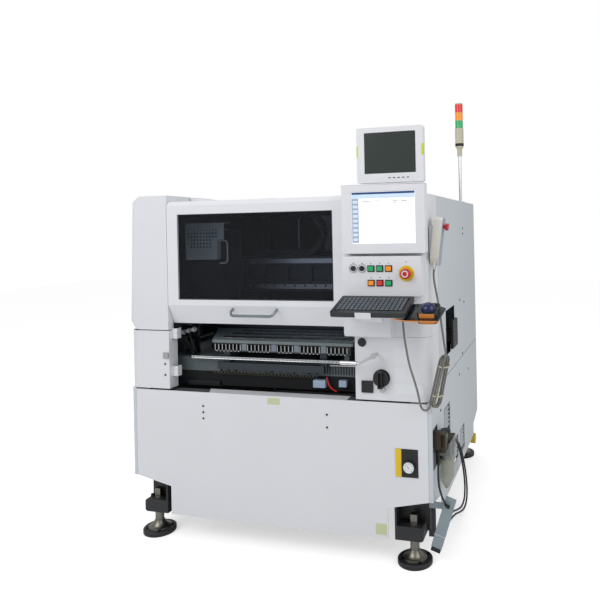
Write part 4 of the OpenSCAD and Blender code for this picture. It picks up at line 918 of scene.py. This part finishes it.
class PLACER_OT_services(bpy.types.Operator):
    """Air unit, connector box and mains inlet on the right side"""
    bl_idname = "placer.services"
    bl_label = "Services"

    def execute(self, context):
        dress_solids("air_unit", lambda mid, spot, face: "bronze" if spot.z > 440 else "air_grey", 0.001)
        dress("air_bowls", "clear")
        dress("regulator_knob", "black", 0.001)
        dress_solids("cable_box", lambda mid, spot, face: "black" if mid.z > 600 or spot.z < 72
                     else "grey_box", 0.0015)
        dress_solids("rear_plug", lambda mid, spot, face: "yellow" if spot.x > 643 else "vent_grey", 0.001)
        self.box_band()
        turned("air_lamp", "green_cap", [((713, 60, 500), (1, 0, 0), [(0, 0), (4, 0), (4, 1.4), (0, 2)])],
               steps=16)
        row("drive_ribs", "comb_black", 5, (0, 0, 20), (677.2, 497, 784), (1.6, 112, 7))
        return {"FINISHED"}

    def box_band(self):
        """Bright band round the leaning connector box."""
        mesh = bmesh.new()
        lean = math.radians(17.5)
        made = add_box(mesh, (-21.8 * MM, -15.8 * MM, -148 * MM), (21.8 * MM, 15.8 * MM, -143 * MM))
        for vertex in made:
            x, y, z = vertex.co
            vertex.co = at(726, 40, 262) + Vector((
                x * math.cos(lean) + z * math.sin(lean), y, -x * math.sin(lean) + z * math.cos(lean)))
        soften(piece_from("box_band", mesh, "aluminium", "machine"), 0.0006)


# ---------- cords ----------

CORD_D = 0.008      # metres; the routes are in machine millimetres
PENDANT_ROUTE = [
    (681, 24, 1149), (680, 24, 1138), (679, 24, 1120), (682, 22, 1096), (687, 20, 1070), (694, 16, 1036),
    (700, 12, 1000), (706, 9, 964), (710, 6, 930), (715, 4, 898), (719, -1, 872), (725, -11, 850),
    (728, -18, 834), (726.5, -22.5, 819)]
TRAY_ROUTE = [
    (663, -14.3, 634), (657, -15.5, 622), (646, -18, 616.5), (635, -21.5, 621.5), (628.5, -25, 636),
    (625.5, -29, 656), (622, -32.5, 680), (616, -36, 708), (608, -40, 740), (598, -44, 775),
    (590, -47, 812), (584, -49, 850), (578, -52, 895), (575, -55, 940), (575, -62, 975), (575, -70, 1002)]
HANK = {"centre": (703.5, 0, 725), "tilt": math.radians(13), "half": 79.0, "radius": 21.0,
        "across": (0.45, 0.893), "first": -10.75, "pitch": 10.75, "turns": 2}
HANK_DOWN = Vector((-math.sin(HANK["tilt"]), 0, -math.cos(HANK["tilt"])))
HANK_TIES = ((-62, 27.5, 17.0), (52, 27.0, 17.0))       # way down the hank, half width and half depth
SIDE_ROUTE = [
    (691, 236, 426), (691, 290, 417), (691, 380, 370), (691, 460, 301), (691, 540, 200), (691, 580, 120),
    (691, 586, 66), (691, 556, 34), (691, 500, 32), (691, 441, 46), (691, 360, 74), (691, 280, 104),
    (692, 180, 134), (693, 100, 154), (694, 55, 160)]
FRONT_ROUTE = [
    (680, 45, 452), (680, 45, 420), (678, 40, 370), (682, 28, 320), (694, 15, 285), (706, 10, 262),
    (714, 14, 246), (717, 25, 238)]


def hank_points():
    """The folded runs: long turns side by side, entered at the top and left at the bottom."""
    half, radius = HANK["half"], HANK["radius"]
    across = Vector((*HANK["across"], 0))
    side = Vector((-across.y, across.x, 0))
    turn = 4 * half + 2 * math.pi * radius
    steps_run, steps_fold = 6, 8
    points = []
    for number in range(HANK["turns"] * 2 + 1):
        way, done = (1, -1)[number % 2], number * turn / 2
        for k in range(steps_run):
            run = 2 * half * k / steps_run
            points.append((way * (run - half), -way * radius, done + run))
        for k in range(steps_fold):
            angle = math.pi * k / steps_fold
            points.append((way * (half + radius * math.sin(angle)), -way * radius * math.cos(angle),
                           done + 2 * half + radius * angle))
    last_fold = steps_fold - 1      # the last run ends where its fold would start
    return [Vector(HANK["centre"]) + along * HANK_DOWN + wide * across
            + (HANK["first"] + HANK["pitch"] * travel / turn) * side
            for along, wide, travel in points[:-last_fold]]


def lay_cord(name, finish, line, nodes=()):
    """A cord on a smooth line given in machine millimetres, swept as one open curve."""
    points = [at(*p) for p in line]
    cord = settle(name, swept(name, finish, points, CORD_D, 5), "machine")
    if nodes:
        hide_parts(*nodes)
    length = sum((b - a).length for a, b in zip(points, points[1:]))
    tuple(points[0])


def relief(name, finish, start_at, towards, length):
    """Ribbed, tapered strain relief round a cord where it leaves a housing."""
    bore, wide, narrow, groove, ribs = 4.1, 7.5, 5.0, 0.9, 5
    profile = [(bore, 0), (wide, 0)]
    for k in range(ribs):
        low, high = length * (k + 0.15) / ribs, length * (k + 0.8) / ribs
        radius = wide - (wide - narrow) * k / ribs
        profile += [(radius, low), (radius, high), (radius - groove, high + 0.3),
                    (radius - groove, length * (k + 1.1) / ribs)]
    profile += [(4.9, length * 1.04), (bore, length * 1.04)]
    axis = (Vector(towards) - Vector(start_at)).normalized()
    return turned(name, finish, [(start_at, axis, profile)])


def tie(name, way_down, wide, deep):
    """Cable tie: a flat band drawn round the hank, narrower between the strands."""
    mesh = bmesh.new()
    centre, across = Vector(HANK["centre"]) + HANK_DOWN * way_down, Vector((*HANK["across"], 0))
    side = HANK_DOWN.cross(across).normalized()
    rings, steps = [], 40
    for along, grow in ((-2.6, 0.0), (-1.8, 1.1), (1.8, 1.1), (2.6, 0.0)):
        rings.append([])
        for k in range(steps):
            angle = 2 * math.pi * k / steps
            swell = 1 + 0.05 * math.cos(6 * angle)
            rings[-1].append(mesh.verts.new(at(*(
                centre + HANK_DOWN * along + across * (wide + grow) * swell * math.cos(angle)
                + side * (deep + grow) * swell * math.sin(angle)))))
    join_rings(mesh, rings)
    piece = piece_from(name, mesh, "tie", "machine", 60)
    piece.modifiers.new("thickness", "SOLIDIFY").thickness = 0.0008
    return piece


class PLACER_OT_cords(bpy.types.Operator):
    """Pendant lead with its tied hank, and the black leads on the right side"""
    bl_idname = "placer.cords"
    bl_label = "Cords"

    def execute(self, context):
        line = smooth_line(PENDANT_ROUTE + hank_points() + TRAY_ROUTE, 3)
        ties = [tie("hank_tie_%d" % number, *values) for number, values in enumerate(HANK_TIES, 1)]
        lay_cord("pendant_lead", "cable", line, ("pendant_cable", "cable_hank"))
        side = smooth_line(SIDE_ROUTE, 4)
        lay_cord("side_lead_1", "lead", side, ("side_cables",))
        lay_cord("side_lead_2", "lead", [p + Vector((10, 0, -10)) for p in side])
        lay_cord("side_lead_3", "lead", smooth_line(FRONT_ROUTE, 4))
        relief("lead_relief", "lead", (717, 25, 238), (713, 14, 247), 24)
        return {"FINISHED"}


# ---------- stage ----------

class PLACER_OT_stage(bpy.types.Operator):
    """Pale floor, backdrop light, soft lamps and the camera"""
    bl_idname = "placer.stage"
    bl_label = "Stage"

    def execute(self, context):
        values = context.scene.placer_stage
        self.floor()
        self.world(values)
        self.lamps(values)
        self.camera(values)
        context.scene.view_settings.view_transform = "Standard"
        return {"FINISHED"}

    def floor(self):
        mesh = bmesh.new()
        bmesh.ops.create_grid(mesh, x_segments=1, y_segments=1, size=12.0)
        data = bpy.data.meshes.new("floor")
        mesh.to_mesh(data)
        mesh.free()
        floor = placed("floor", data)
        floor.location.z = -0.0005
        material = bpy.data.materials.new("floor_white")
        data.materials.append(material)
        tree = bare_tree(material)
        matt = add(tree, "ShaderNodeBsdfDiffuse", {"Color": (0.86, 0.86, 0.86, 1)})
        lift = add(tree, "ShaderNodeEmission", {"Color": (1, 1, 1, 1), "Strength": 0.55})
        both = add(tree, "ShaderNodeAddShader", {}, {0: (matt, "BSDF"), 1: (lift, "Emission")})
        path = add(tree, "ShaderNodeLightPath")
        pick = add(tree, "ShaderNodeMixShader", {}, {
            "Fac": (path, "Is Camera Ray"), 1: (matt, "BSDF"), 2: (both, "Shader")})
        add(tree, "ShaderNodeOutputMaterial", {}, {"Surface": (pick, "Shader")})

    def world(self, values):
        world = bpy.data.worlds.new("studio")
        bpy.context.scene.world = world
        tree = bare_tree(world)
        room = add(tree, "ShaderNodeBackground", {"Color": (1, 1, 1, 1), "Strength": values.sky})
        seen = add(tree, "ShaderNodeBackground", {"Color": (1, 1, 1, 1), "Strength": 1.0})
        path = add(tree, "ShaderNodeLightPath")
        either = add(tree, "ShaderNodeMath", {"operation": "MAXIMUM"}, {
            0: (path, "Is Camera Ray"), 1: (path, "Is Transmission Ray")})
        pick = add(tree, "ShaderNodeMixShader", {}, {
            "Fac": (either, "Value"), 1: (room, "Background"), 2: (seen, "Background")})
        add(tree, "ShaderNodeOutputWorld", {}, {"Surface": (pick, "Shader")})

    def lamps(self, values):
        target = at(0, 600, 800)
        for name, power, size, where in (
                ("key", values.key, 2.6, at(-1500, -2600, 3000)),
                ("fill", values.fill, 2.6, at(2800, -900, 2300)),
                ("top", values.fill * 0.8, 2.2, at(0, 900, 3900))):
            lamp = bpy.data.lights.new(name, "AREA")
            lamp.energy = power
            lamp.shape = "DISK"
            lamp.size = size
            holder = placed(name, lamp)
            holder.location = where
            holder.rotation_euler = (target - where).to_track_quat("-Z", "Y").to_euler()

    def camera(self, values):
        data = bpy.data.cameras.new("camera")
        data.lens = values.lens
        data.sensor_width = 36.0
        data.shift_x, data.shift_y = values.shift
        data.clip_start = 0.05
        camera = placed("camera", data)
        turn = (Matrix.Rotation(values.yaw, 4, "Z") @ Matrix.Rotation(math.pi / 2 - values.pitch, 4, "X")
                @ Matrix.Rotation(values.roll, 4, "Z"))
        camera.matrix_world = Matrix.Translation(at(*values.camera_at)) @ turn
        bpy.context.scene.camera = camera


class PLACER_PT_panel(bpy.types.Panel):
    """Sizes, colours and the piece operators"""
    bl_idname = "PLACER_PT_panel"
    bl_label = "Placement machine"
    bl_space_type = "VIEW_3D"
    bl_region_type = "UI"
    bl_category = "Placer"

    def draw(self, context):
        for key, group in GROUPS.items():
            box = self.layout.box()
            for value in group.__annotations__:
                box.prop(getattr(context.scene, key), value)
        for operator in OPERATORS:
            self.layout.operator(operator.bl_idname)


OPERATORS = (PLACER_OT_stage, PLACER_OT_covers, PLACER_OT_underframe, PLACER_OT_bed, PLACER_OT_gantry,
             PLACER_OT_operator_side, PLACER_OT_tray, PLACER_OT_upper_fittings, PLACER_OT_services,
             PLACER_OT_cords)
GROUPS = {"placer_colours": PLACER_PG_colours, "placer_sizes": PLACER_PG_sizes,
          "placer_stage": PLACER_PG_stage}
CLASSES = (*GROUPS.values(), *OPERATORS, PLACER_PT_panel)


def register():
    for cls in CLASSES:
        bpy.utils.register_class(cls)
    for key, group in GROUPS.items():
        setattr(bpy.types.Scene, key, PointerProperty(type=group))


def unregister():
    for key in GROUPS:
        delattr(bpy.types.Scene, key)
    for cls in reversed(CLASSES):
        bpy.utils.unregister_class(cls)


def main():
    register()
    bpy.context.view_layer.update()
    make_materials()
    for operator in OPERATORS:
        group, name = operator.bl_idname.split(".")
        getattr(getattr(bpy.ops, group), name)()


if __name__ == "__main__":
    main()
